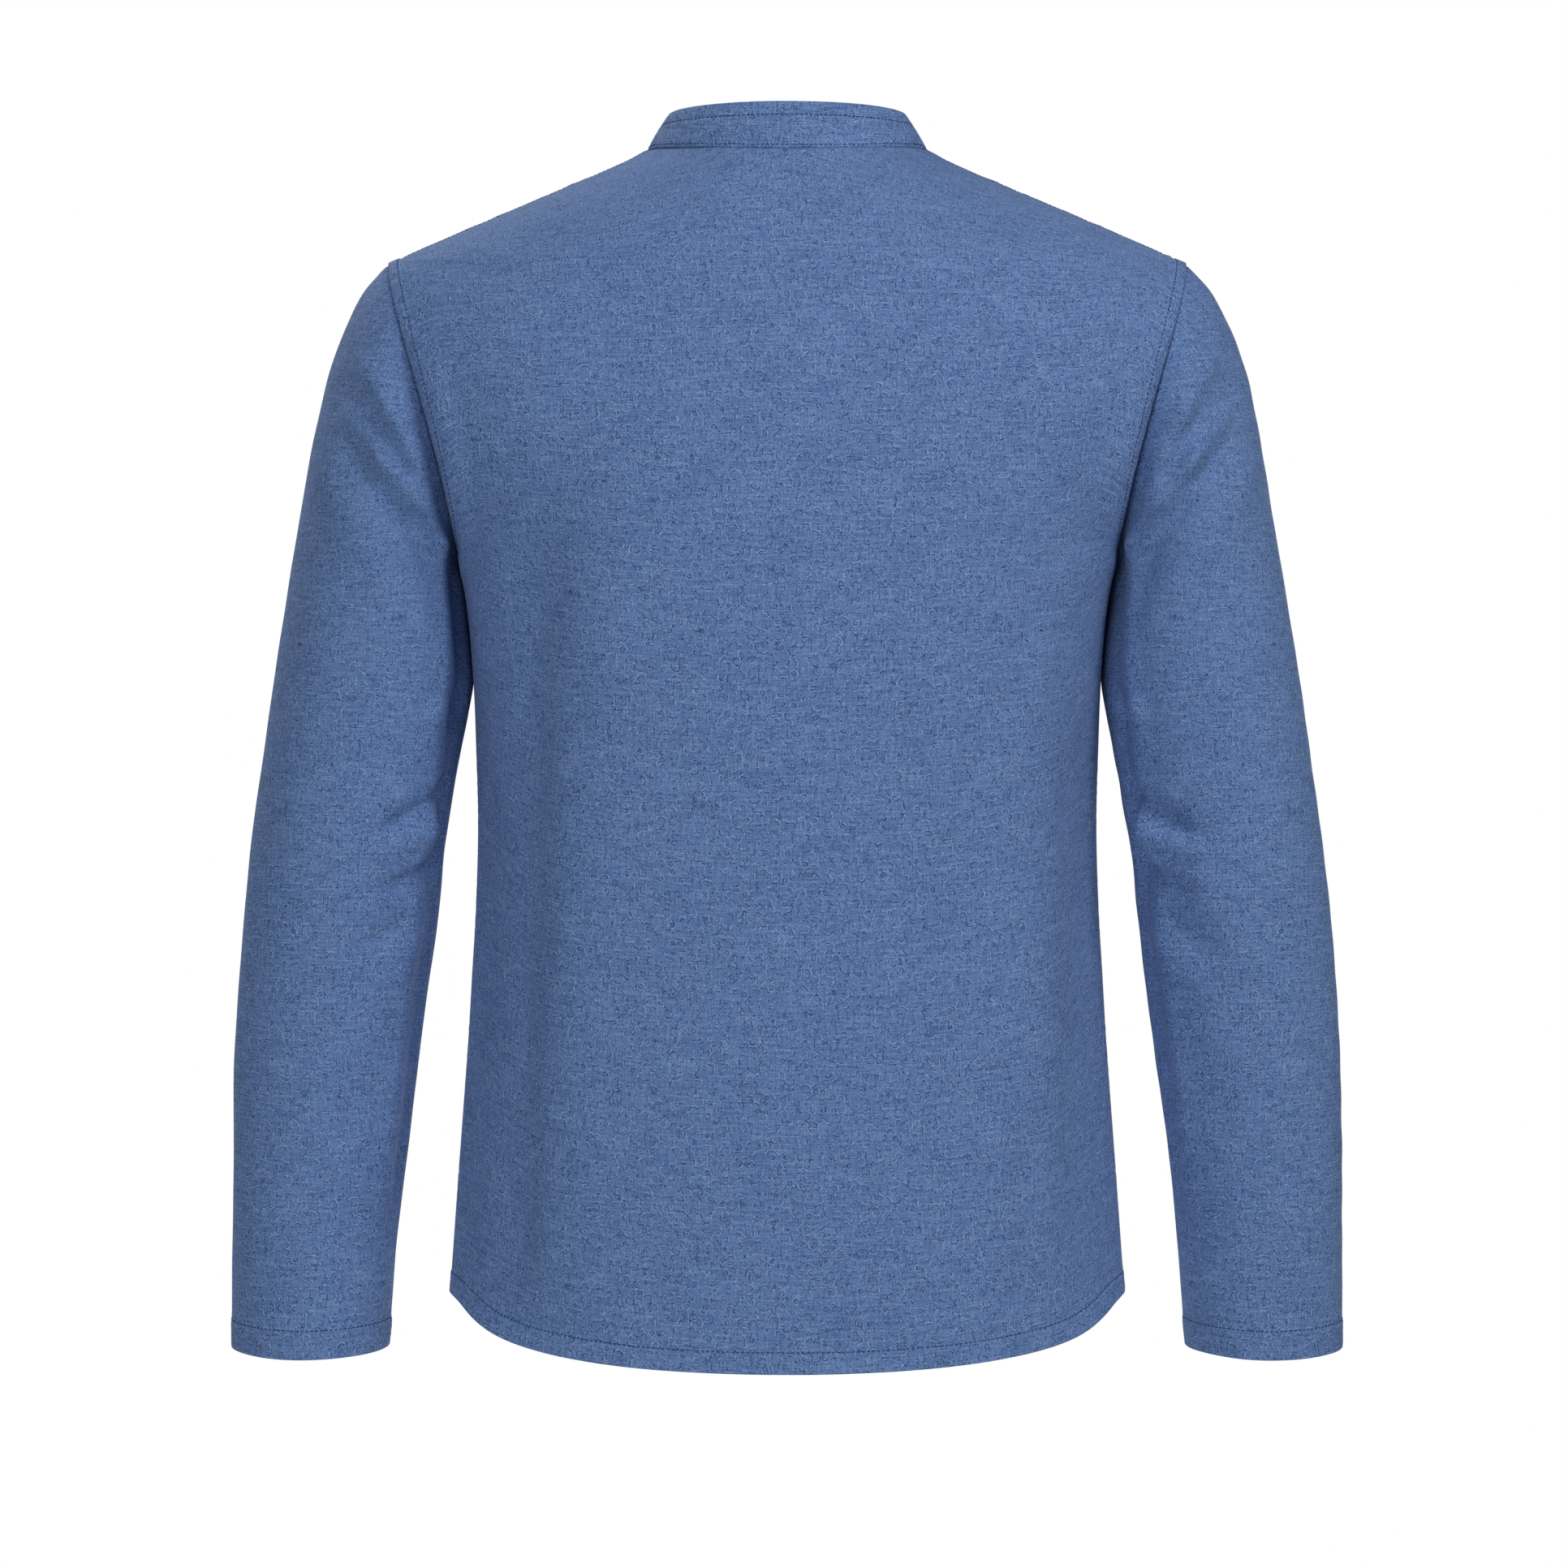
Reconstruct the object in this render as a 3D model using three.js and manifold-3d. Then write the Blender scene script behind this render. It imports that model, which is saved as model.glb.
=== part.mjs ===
import * as THREE from 'three';
import { mergeVertices } from 'three/addons/utils/BufferGeometryUtils.js';
import Module from 'manifold-3d';

// A short kurta with a band collar, set-in sleeves and a half placket, filled out as when worn.
// Millimetres, +Z up. The back faces +Y and the wearer's left is +X.
// The origin lies midway between the two neck points, at the base of the collar.

const wasm = await Module();
wasm.setup();

// Walls and clearances.
const clothWall = 1.5;
const bandWall = 2.6;
const seamGap = 0.3;

// Neck, shoulders, armholes, hem and cuffs.
const neckHalf = 81;
const shoulderPoint = { x: 233.5, z: -67 };
const underarmPoint = { x: 191.5, z: -238 };
const armholeHalfDepth = 68;
const sideHemZ = -668;
const cuffZ = -701;

// Grid of the cloth. The armhole steps are shared by the panels and the sleeves.
const sideSteps = 13;
const armholeSteps = 12;
const shoulderSteps = 4;
const acrossSteps = 24;
const sleeveSteps = 23;
const mergeTolerance = 1e-4;

// Side of the body below the underarm: half the width at each height.
const sideLine = [
  { z: -668, halfWidth: 197.6 },
  { z: -597, halfWidth: 192.6 },
  { z: -520, halfWidth: 187.0 },
  { z: -482, halfWidth: 184.8 },
  { z: -444, halfWidth: 182.6 },
  { z: -395, halfWidth: 181.3 },
  { z: -349, halfWidth: 182.4 },
  { z: -313, halfWidth: 183.6 },
  { z: -276, halfWidth: 186.3 },
  { z: -238, halfWidth: 191.5 },
];

// Centre back and centre front: how far each lies from the side seams at each height,
// and how square the section is there, 2 being an ellipse.
const centreLine = [
  { z: -700, back: 116.5, front: 113, square: 2.15 },
  { z: -600, back: 115, front: 112, square: 2.18 },
  { z: -480, back: 112.5, front: 111, square: 2.24 },
  { z: -420, back: 113.5, front: 112.5, square: 2.29 },
  { z: -360, back: 116.5, front: 115, square: 2.35 },
  { z: -300, back: 120, front: 118, square: 2.42 },
  { z: -240, back: 121, front: 119.5, square: 2.44 },
  { z: -200, back: 119, front: 117.5, square: 2.38 },
  { z: -160, back: 114.5, front: 112, square: 2.24 },
  { z: -120, back: 107, front: 102, square: 2.1 },
  { z: -80, back: 95, front: 87, square: 2.02 },
  { z: -52, back: 84, front: 72, square: 2 },
  { z: -7, back: 58, front: 50, square: 2 },
];

// Shoulder seam from the shoulder point (0) to the neck point (1).
const shoulderLine = [
  { along: 0, x: 233.5, z: -67 },
  { along: 0.3, x: 187, z: -46.8 },
  { along: 0.6, x: 141, z: -27.2 },
  { along: 0.88, x: 97.5, z: -8.6 },
  { along: 1, x: 81, z: 0 },
];

// Outer and inner edge of the hanging sleeve, and its half depth and sway from armhole to cuff.
const sleeveOuter = [
  { z: -67, x: 233.5 },
  { z: -82, x: 247.3 },
  { z: -101, x: 257.5 },
  { z: -120, x: 265.2 },
  { z: -140, x: 270.8 },
  { z: -197, x: 281.5 },
  { z: -273, x: 294.5 },
  { z: -349, x: 305.5 },
  { z: -425, x: 315 },
  { z: -501, x: 321.8 },
  { z: -578, x: 325.3 },
  { z: -701, x: 325.5 },
];
const sleeveInner = [
  { z: -238, x: 192.1 },
  { z: -247, x: 191.7 },
  { z: -262, x: 190.3 },
  { z: -280, x: 188.3 },
  { z: -300, x: 186.4 },
  { z: -316, x: 185.7 },
  { z: -332, x: 187.5 },
  { z: -349, x: 190.6 },
  { z: -387, x: 197 },
  { z: -444, x: 204.6 },
  { z: -540, x: 217 },
  { z: -616, x: 227 },
  { z: -654, x: 230.6 },
  { z: -701, x: 234 },
];
const sleeveDepth = [
  { along: 0, half: 68, sway: 0 },
  { along: 0.15, half: 65, sway: 0 },
  { along: 0.45, half: 60, sway: 4 },
  { along: 0.62, half: 54, sway: 5 },
  { along: 1, half: 45, sway: -4 },
];
const outerEase = 1.3;
const innerEase = 1.6;
const armholeReach = 0.16;
const sleeveRadius = 56;

// Collar band: its upper edge, and how far its base stands proud of the panels.
const bandTop = { half: 69.2, back: 50, front: 66, backZ: 21.6, frontZ: -26, fall: 1.6 };
const bandSeat = 0.5;
const bandProud = 1.1;
const bandSteps = 44;
const bandRows = 3;
const bandCornerRadius = 11;
const bandCornerSteps = 4;
const bandEndGap = 1.2;

// Half placket and its buttons.
const placketHalf = 14;
const slashHalf = 4;
const placketLength = 303.5;
const slashLength = 270;
const stripSetback = 0.08;
const buttonCount = 4;
const buttonFirst = 26;
const buttonPitch = 74;
const button = {
  radius: 5.6, thick: 2.4, bevel: 0.5, rim: 1.2, slope: 0.8, dish: 0.7, seat: 0.15,
  holeCount: 4, holeRadius: 0.75, holeOffset: 1.35, sides: 18, holeSides: 6,
};

// Folds keep off the seams by this many grid steps, and fade beyond their ends by this many widths.
const foldEase = { panel: 2, sleeve: 3 };
const foldFade = 1.6;

// Largest folds of the panels: a soft line from one point to another, a ridge where lift is above 0.
const panelFolds = {
  back: [
    { x0: 144, z0: -250, x1: 156, z1: -640, width: 25, lift: -6 },
    { x0: 108, z0: -270, x1: 122, z1: -600, width: 23, lift: 3 },
    { x0: -172, z0: -290, x1: -168, z1: -620, width: 18, lift: -2.8 },
    { x0: -40, z0: -190, x1: -46, z1: -440, width: 24, lift: -1.4 },
  ],
  front: [
    { x0: 138, z0: -260, x1: 152, z1: -640, width: 26, lift: -3.8 },
    { x0: -142, z0: -250, x1: -150, z1: -630, width: 26, lift: -4.2 },
    { x0: 70, z0: -380, x1: 84, z1: -660, width: 24, lift: 2.2 },
    { x0: -78, z0: -360, x1: -70, z1: -650, width: 24, lift: 2.4 },
  ],
};

// Largest folds of a sleeve, by turn round it (0 outside, 90 back, 180 inside) and by height.
const sleeveFolds = [
  { turn0: 62, z0: -120, turn1: 138, z1: -214, width: 13, lift: 2.6, right: 1 },
  { turn0: 48, z0: -150, turn1: 128, z1: -250, width: 12, lift: -2.6, right: 1 },
  { turn0: 40, z0: -190, turn1: 118, z1: -280, width: 14, lift: 2.0, right: 0.8 },
  { turn0: -62, z0: -120, turn1: -138, z1: -214, width: 13, lift: 2.4, right: 1 },
  { turn0: -48, z0: -155, turn1: -126, z1: -255, width: 12, lift: -2.4, right: 1 },
  { turn0: 152, z0: -402, turn1: 112, z1: -436, width: 12, lift: 2.0, right: 1.5 },
  { turn0: 150, z0: -428, turn1: 122, z1: -458, width: 11, lift: -2.6, right: 1.5 },
  { turn0: 204, z0: -420, turn1: 246, z1: -446, width: 13, lift: -2.2, right: 1.2 },
];

const lerp = THREE.MathUtils.lerp;
const up = new THREE.Vector3(0, 0, 1);

// A smooth curve through a table: the named column as a function of the key column.
function curveThrough(table, key, column) {
  const last = table.length - 1;
  const sense = Math.sign(table[last][key] - table[0][key]);
  const slopeAt = (i) => {
    const before = table[Math.max(i - 1, 0)];
    const after = table[Math.min(i + 1, last)];
    return (after[column] - before[column]) / (after[key] - before[key]);
  };
  return (at) => {
    let i = 0;
    while (i < last - 1 && (at - table[i + 1][key]) * sense > 0) i += 1;
    const span = table[i + 1][key] - table[i][key];
    const t = THREE.MathUtils.clamp((at - table[i][key]) / span, 0, 1);
    const start = table[i][column];
    const end = table[i + 1][column];
    const rise = (1 - t) * span * slopeAt(i);
    const fall = t * span * slopeAt(i + 1);
    const ease = t * t * (3 - 2 * t);
    return lerp(start, end, ease) + t * (1 - t) * (rise - fall);
  };
}

const halfWidthAt = curveThrough(sideLine, 'z', 'halfWidth');
const shoulderXAt = curveThrough(shoulderLine, 'along', 'x');
const shoulderZAt = curveThrough(shoulderLine, 'along', 'z');
const outerXAt = curveThrough(sleeveOuter, 'z', 'x');
const innerXAt = curveThrough(sleeveInner, 'z', 'x');
const sleeveHalfAt = curveThrough(sleeveDepth, 'along', 'half');
const swayAt = curveThrough(sleeveDepth, 'along', 'sway');
const squareAt = curveThrough(centreLine, 'z', 'square');

// The two panels: side of the body, centre heights of their seams, and the scoop of the armhole.
const panels = {
  back: {
    name: 'back', side: 1, hemZ: -700, underarmZ: -242, shoulderZ: -75, neckZ: -7,
    bow: -3, depthAt: curveThrough(centreLine, 'z', 'back'),
  },
  front: {
    name: 'front', side: -1, hemZ: -700, underarmZ: -252, shoulderZ: -104, neckZ: -52,
    bow: -5, depthAt: curveThrough(centreLine, 'z', 'front'),
  },
};
const bowTilt = 3;

// How strongly a row dips from its seam to its middle: evenly at the side, mostly near the middle above.
const sideDip = 1;
const shoulderDip = 1.6;

// The hem is cut round at the side seams: its rows stay high over this share of the depth. The cuffs
// hang a little lower in the middle of the back and the front than at their edges.
const hemRound = 0.42;
const hemRoundPower = 3;
const cuffSag = 2.4;
const cuffSagReach = 0.1;

// The armhole seam: an oval from the shoulder point (turn 0) to the underarm (turn pi).
function armholeAt(turn, bow) {
  const down = Math.cos(turn);
  const sideways = Math.sin(turn);
  const scoop = sideways * sideways * (bow + bowTilt * down);
  return {
    x: lerp(underarmPoint.x, shoulderPoint.x, (1 + down) / 2) + scoop,
    y: armholeHalfDepth * Math.abs(sideways),
    z: lerp(underarmPoint.z, shoulderPoint.z, (1 + down) / 2),
  };
}

// Unit vector across the armhole, from the body out to the sleeve of the wearer's left.
const armholeOut = new THREE.Vector3(
  shoulderPoint.z - underarmPoint.z, 0, underarmPoint.x - shoulderPoint.x,
).normalize();

// One row across a panel. rise runs 0 to 1 up the side seam, to 2 up the armhole, to 3 up the shoulder.
function panelRow(panel, rise) {
  const row = { edgeY: 0 };
  if (rise <= 1) {
    row.edgeZ = lerp(sideHemZ, underarmPoint.z, rise);
    row.edgeX = halfWidthAt(row.edgeZ);
    row.centreZ = lerp(panel.hemZ, panel.underarmZ, rise);
    row.dip = sideDip;
  } else if (rise <= 2) {
    const turn = Math.PI * (2 - rise);
    const seam = armholeAt(turn, panel.bow);
    row.edgeX = seam.x;
    row.edgeY = seam.y;
    row.edgeZ = seam.z;
    row.centreZ = lerp(panel.underarmZ, panel.shoulderZ, rise - 1);
    row.dip = lerp(sideDip, shoulderDip, rise - 1);
  } else {
    row.edgeX = shoulderXAt(rise - 2);
    row.edgeZ = shoulderZAt(rise - 2);
    row.centreZ = lerp(panel.shoulderZ, panel.neckZ, rise - 2);
    row.dip = shoulderDip;
  }
  row.depth = panel.depthAt(row.centreZ);
  row.square = squareAt(row.centreZ);
  return row;
}

// A point of a panel. across runs -1 to 1 from seam to seam, or x is a fixed distance from the centre.
// Each row is part of a rounded oblong round the body, cut off where it meets the seam.
function panelPoint(panel, rise, column) {
  const row = panelRow(panel, rise);
  const power = 2 / row.square;
  const edgeShare = row.edgeY / row.depth;
  const wholeHalf = row.edgeX / (1 - edgeShare ** row.square) ** (1 / row.square);
  let angle = Math.abs(column.across ?? 0) * Math.acos(edgeShare ** (1 / power));
  if (column.x !== undefined) angle = Math.asin((Math.abs(column.x) / wholeHalf) ** (1 / power));
  const y = row.depth * Math.max(Math.cos(angle), 0) ** power;
  const forward = Math.max((y - row.edgeY) / (row.depth - row.edgeY), 0);
  const rounding = lerp(1 - Math.exp(-((forward / hemRound) ** hemRoundPower)), 1, Math.min(rise, 1));
  return new THREE.Vector3(
    Math.sign(column.across ?? column.x) * wholeHalf * Math.sin(angle) ** power,
    panel.side * (y + seamGap / 2),
    lerp(row.edgeZ, row.centreZ, rounding * forward ** row.dip),
  );
}

// A soft ridge or trough about a straight line, fading out at both ends.
function foldLift(folds, px, py) {
  let lift = 0;
  for (const fold of folds) {
    const dx = fold.x1 - fold.x0;
    const dy = fold.y1 - fold.y0;
    const length = Math.hypot(dx, dy);
    const along = ((px - fold.x0) * dx + (py - fold.y0) * dy) / length;
    const off = ((px - fold.x0) * dy - (py - fold.y0) * dx) / length;
    const beyond = Math.max(-along, along - length, 0);
    lift += fold.lift * Math.exp(-((off / fold.width) ** 2) - (beyond / (foldFade * fold.width)) ** 2);
  }
  return lift;
}

// Vertex normals of a grid, facing the given side of it. A closed grid joins its last column to its first.
function gridNormals(grid, closed, sense) {
  const lastRow = grid.length - 1;
  const columns = grid[0].length;
  return grid.map((row, i) => row.map((point, j) => {
    const left = closed ? (j + columns - 1) % columns : Math.max(j - 1, 0);
    const right = closed ? (j + 1) % columns : Math.min(j + 1, columns - 1);
    const across = row[right].clone().sub(row[left]);
    const along = grid[Math.min(i + 1, lastRow)][j].clone().sub(grid[Math.max(i - 1, 0)][j]);
    return across.cross(along).normalize().multiplyScalar(sense);
  }));
}

// Takes out of a move the part of it that would cross a seam towards the next piece.
function keepOff(move, towards) {
  const crossing = move.dot(towards);
  if (crossing <= 0) return move;
  const length = move.length();
  return move.addScaledVector(towards, -crossing).setLength(length);
}

// A closed wall from two grids of the same size, outer and inner. Cells where open() is true are left out.
function wallGeometry(outer, inner, closed, sense, open = () => false) {
  const rows = outer.length;
  const columns = outer[0].length;
  const cells = closed ? columns : columns - 1;
  const positions = [];
  for (const grid of [outer, inner]) {
    for (const row of grid) {
      for (const point of row) positions.push(point.x, point.y, point.z);
    }
  }
  const id = (i, j, layer) => layer * rows * columns + i * columns + (j % columns);
  const solid = (i, j) => {
    if (i < 0 || i >= rows - 1) return false;
    if (!closed && (j < 0 || j >= cells)) return false;
    return !open(i, (j + cells) % cells);
  };
  const index = [];
  const quad = (a, b, c, d) => {
    if (sense > 0) index.push(a, b, c, a, c, d);
    else index.push(a, c, b, a, d, c);
  };
  for (let i = 0; i < rows - 1; i += 1) {
    for (let j = 0; j < cells; j += 1) {
      if (!solid(i, j)) continue;
      quad(id(i, j, 0), id(i, j + 1, 0), id(i + 1, j + 1, 0), id(i + 1, j, 0));
      quad(id(i, j, 1), id(i + 1, j, 1), id(i + 1, j + 1, 1), id(i, j + 1, 1));
      if (!solid(i - 1, j)) quad(id(i, j, 1), id(i, j + 1, 1), id(i, j + 1, 0), id(i, j, 0));
      if (!solid(i + 1, j)) {
        quad(id(i + 1, j, 0), id(i + 1, j + 1, 0), id(i + 1, j + 1, 1), id(i + 1, j, 1));
      }
      if (!solid(i, j - 1)) quad(id(i, j, 1), id(i, j, 0), id(i + 1, j, 0), id(i + 1, j, 1));
      if (!solid(i, j + 1)) {
        quad(id(i, j + 1, 0), id(i, j + 1, 1), id(i + 1, j + 1, 1), id(i + 1, j + 1, 0));
      }
    }
  }
  const geometry = new THREE.BufferGeometry();
  geometry.setAttribute('position', new THREE.Float32BufferAttribute(positions, 3));
  geometry.setIndex(index);
  return geometry;
}

// Moves every point of a grid along its normal.
function moved(grid, normals, distance) {
  const shift = (point, normal) => point.clone().addScaledVector(normal, distance);
  return grid.map((row, i) => row.map((point, j) => shift(point, normals[i][j])));
}

// The heights at which a panel has its rows.
function panelRises() {
  const rises = [];
  for (let i = 0; i <= sideSteps; i += 1) rises.push(i / sideSteps);
  for (let i = 1; i <= armholeSteps; i += 1) rises.push(1 + i / armholeSteps);
  for (let i = 1; i <= shoulderSteps; i += 1) rises.push(2 + i / shoulderSteps);
  return rises;
}

// The outer face of a panel with its folds, and the normals of that face.
function panelFace(panel, columns) {
  const rises = panelRises();
  const sense = panel.side;
  const smooth = rises.map((rise) => columns.map((column) => panelPoint(panel, rise, column)));
  const normals = gridNormals(smooth, false, -sense);
  const folds = panelFolds[panel.name].map((fold) => ({ ...fold, y0: fold.z0, y1: fold.z1 }));
  const face = smooth.map((row, i) => row.map((point, j) => {
    const fromSeam = Math.min(j, columns.length - 1 - j);
    const ease = Math.min(fromSeam / foldEase.panel, 1);
    return point.clone().addScaledVector(normals[i][j], ease * foldLift(folds, point.x, point.z));
  }));
  return { rises, face, normals: gridNormals(face, false, -sense) };
}

// Inner points of a panel: straight in by the wall, but never across a side, shoulder or armhole seam.
function panelInner(panel, rises, face, normals) {
  const acrossSeam = new THREE.Vector3(0, -panel.side, 0);
  return face.map((row, i) => row.map((point, j) => {
    const move = normals[i][j].clone().multiplyScalar(-clothWall);
    const edge = j === 0 ? -1 : Number(j === row.length - 1);
    if (edge !== 0) {
      if (rises[i] <= 1 || rises[i] >= 2) keepOff(move, acrossSeam);
      if (rises[i] >= 1 && rises[i] <= 2) {
        keepOff(move, new THREE.Vector3(edge * armholeOut.x, 0, armholeOut.z));
      }
    }
    return point.clone().add(move);
  }));
}

function backGeometry() {
  const columns = [];
  for (let j = 0; j <= acrossSteps; j += 1) columns.push({ across: (2 * j) / acrossSteps - 1 });
  const { rises, face, normals } = panelFace(panels.back, columns);
  return wallGeometry(face, panelInner(panels.back, rises, face, normals), false, -1);
}

// The front has columns at a fixed distance from the centre, for the slash and the placket over it.
function frontColumns() {
  const columns = [];
  const wideSteps = acrossSteps / 2 - 1;
  for (let j = 0; j < wideSteps; j += 1) columns.push({ across: -1 + j / (wideSteps + 1) });
  for (const x of [-placketHalf, -slashHalf, slashHalf, placketHalf]) columns.push({ x });
  for (let j = wideSteps - 1; j >= 0; j -= 1) columns.push({ across: 1 - j / (wideSteps + 1) });
  return columns;
}

const frontGrid = panelFace(panels.front, frontColumns());
const slashColumn = acrossSteps / 2;
const rowsAbove = (length) => {
  const lowest = panels.front.neckZ - length;
  return frontGrid.face.findIndex((row) => row[slashColumn].z > lowest);
};

function frontGeometry() {
  const { rises, face, normals } = frontGrid;
  const firstOpen = rowsAbove(slashLength);
  const open = (i, j) => j === slashColumn && i >= firstOpen;
  return wallGeometry(face, panelInner(panels.front, rises, face, normals), false, 1, open);
}

// A placket strip follows the points of the front, from one distance off it to another.
function placketGeometry(outerOff, innerOff) {
  const first = rowsAbove(placketLength);
  const strip = (grid) => grid.slice(first).map((row) => row.slice(slashColumn - 1, slashColumn + 3));
  const face = strip(frontGrid.face);
  const normals = strip(frontGrid.normals);
  const top = face.length - 1;
  face[top] = face[top].map((point, j) => point.clone().lerp(face[top - 1][j], stripSetback));
  return wallGeometry(moved(face, normals, outerOff), moved(face, normals, innerOff), false, 1);
}

// One point of the sleeve of the wearer's left. turn is 0 outside, pi / 2 at the back, pi inside.
function sleevePoint(along, turn) {
  const outer = { z: lerp(shoulderPoint.z, cuffZ, along ** outerEase) };
  const inner = { z: lerp(underarmPoint.z, cuffZ, along ** innerEase) };
  outer.x = outerXAt(outer.z);
  inner.x = innerXAt(inner.z);
  const reach = (1 + Math.cos(turn)) / 2;
  const seamShare = Math.max(1 - along / armholeReach, 0) ** 2;
  const nearCuff = Math.max(1 - (1 - along) / cuffSagReach, 0) ** 2;
  const bow = Math.sin(turn) > 0 ? panels.back.bow : panels.front.bow;
  const scoop = seamShare * Math.sin(turn) ** 2 * (bow + bowTilt * Math.cos(turn));
  return new THREE.Vector3(
    lerp(inner.x, outer.x, reach) + scoop,
    swayAt(along) + sleeveHalfAt(along) * Math.sin(turn),
    lerp(inner.z, outer.z, reach) - nearCuff * cuffSag * Math.sin(turn) ** 2,
  );
}

// Folds of a sleeve, in millimetres round it and down it.
function sleeveFoldTable(isRight) {
  const roundFor = (degrees) => THREE.MathUtils.degToRad(degrees) * sleeveRadius;
  return sleeveFolds.map((fold) => ({
    x0: roundFor(fold.turn0),
    y0: fold.z0,
    x1: roundFor(fold.turn1),
    y1: fold.z1,
    width: fold.width,
    lift: fold.lift * (isRight ? fold.right : 1),
  }));
}

function sleeveLift(folds, turn, z) {
  const whole = 2 * Math.PI;
  const liftAt = (shift) => foldLift(folds, (turn + shift) * sleeveRadius, z);
  return liftAt(-whole) + liftAt(0) + liftAt(whole);
}

function sleeveGeometry(isRight) {
  const turns = 2 * armholeSteps;
  const folds = sleeveFoldTable(isRight);
  const smooth = [];
  for (let i = 0; i <= sleeveSteps; i += 1) {
    const ring = [];
    for (let j = 0; j < turns; j += 1) {
      ring.push(sleevePoint(i / sleeveSteps, (2 * Math.PI * j) / turns));
    }
    smooth.push(ring);
  }
  const flat = gridNormals(smooth, true, -1);
  const face = smooth.map((ring, i) => ring.map((point, j) => {
    const turn = (2 * Math.PI * j) / turns;
    const ease = Math.min(i / foldEase.sleeve, 1);
    return point.clone().addScaledVector(flat[i][j], ease * sleeveLift(folds, turn, point.z));
  }));
  face[0].forEach((point) => point.addScaledVector(armholeOut, seamGap));
  const normals = gridNormals(face, true, -1);
  const towardsBody = armholeOut.clone().negate();
  const inner = face.map((ring, i) => ring.map((point, j) => {
    const move = normals[i][j].clone().multiplyScalar(-clothWall);
    if (i === 0) keepOff(move, towardsBody);
    return point.clone().add(move);
  }));
  if (!isRight) return wallGeometry(face, inner, true, -1);
  const mirror = (grid) => grid.map((ring) => ring.map(({ x, y, z }) => new THREE.Vector3(-x, y, z)));
  return wallGeometry(mirror(face), mirror(inner), true, 1);
}

// The neckline: 0 at centre back, pi at centre front, with its way up and its way out of the cloth.
function necklineAt(turn) {
  const away = Math.abs(turn);
  const panel = away <= Math.PI / 2 ? panels.back : panels.front;
  const side = Math.sign(turn) || 1;
  const across = away <= Math.PI / 2 ? away / (Math.PI / 2) : (Math.PI - away) / (Math.PI / 2);
  const step = 0.02;
  const column = { across: side * Math.max(across, step / 200) };
  const point = panelPoint(panel, 3, column);
  const wayUp = point.clone().sub(panelPoint(panel, 3 - step, column)).normalize();
  const near = panelPoint(panel, 3, { across: column.across * (1 - step) });
  const wayRound = near.sub(point).multiplyScalar(side * panel.side);
  const wayOut = wayRound.cross(wayUp).normalize();
  return { point, wayUp, wayOut };
}

// Upper edge of the band: level at the back and sides, falling to the centre front.
function bandTopAt(turn) {
  const forward = -Math.cos(turn);
  const fall = Math.max(forward, 0) ** bandTop.fall;
  return new THREE.Vector3(
    bandTop.half * Math.sin(turn),
    -forward * (forward > 0 ? bandTop.front : bandTop.back),
    lerp(bandTop.backZ, bandTop.frontZ, fall),
  );
}

function collarGeometry() {
  const endTurn = Math.PI - bandEndGap / 2 / neckHalf;
  const cornerTurn = bandCornerRadius / bandTop.half;
  const turns = [];
  for (let k = 0; k < bandCornerSteps; k += 1) {
    turns.push(endTurn - cornerTurn * (1 - Math.cos(((k / bandCornerSteps) * Math.PI) / 2)));
  }
  for (let k = 0; k <= bandSteps / 2; k += 1) {
    turns.push((endTurn - cornerTurn) * (1 - (2 * k) / bandSteps));
  }
  const half = turns.slice(0, -1);
  const all = [...half.map((turn) => -turn), 0, ...half.reverse()];
  const base = all.map((turn) => necklineAt(turn));
  const grid = [];
  for (let i = 0; i <= bandRows; i += 1) {
    grid.push(all.map((turn, j) => {
      const start = base[j].point.clone().addScaledVector(base[j].wayUp, bandSeat);
      start.addScaledVector(base[j].wayOut, bandProud);
      const intoCorner = Math.max(1 - (endTurn - Math.abs(turn)) / cornerTurn, 0);
      const top = bandTopAt(turn);
      const lost = (bandCornerRadius * (1 - Math.sqrt(1 - intoCorner ** 2))) / start.distanceTo(top);
      return start.lerp(top, (i / bandRows) * (1 - lost));
    }));
  }
  const normals = gridNormals(grid, false, -1);
  const inner = grid.map((row, i) => row.map((point, j) => {
    const move = normals[i][j].clone().multiplyScalar(-bandWall);
    if (i === 0) keepOff(move, base[j].wayUp.clone().negate());
    if (j === 0 || j === all.length - 1) keepOff(move, new THREE.Vector3(j === 0 ? 1 : -1, 0, 0));
    return point.clone().add(move);
  }));
  return wallGeometry(grid, inner, false, -1);
}

// Three.js geometry to a manifold solid and back.
function toSolid(geometry) {
  const plain = geometry.clone();
  plain.deleteAttribute('normal');
  plain.deleteAttribute('uv');
  const merged = mergeVertices(plain, mergeTolerance);
  return new wasm.Manifold(new wasm.Mesh({
    numProp: 3,
    vertProperties: new Float32Array(merged.attributes.position.array),
    triVerts: new Uint32Array(merged.index.array),
  }));
}

function fromSolid(solid) {
  const mesh = solid.getMesh();
  const geometry = new THREE.BufferGeometry();
  geometry.setAttribute('position', new THREE.BufferAttribute(mesh.vertProperties, 3));
  geometry.setIndex(new THREE.BufferAttribute(mesh.triVerts, 1));
  return geometry;
}

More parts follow.
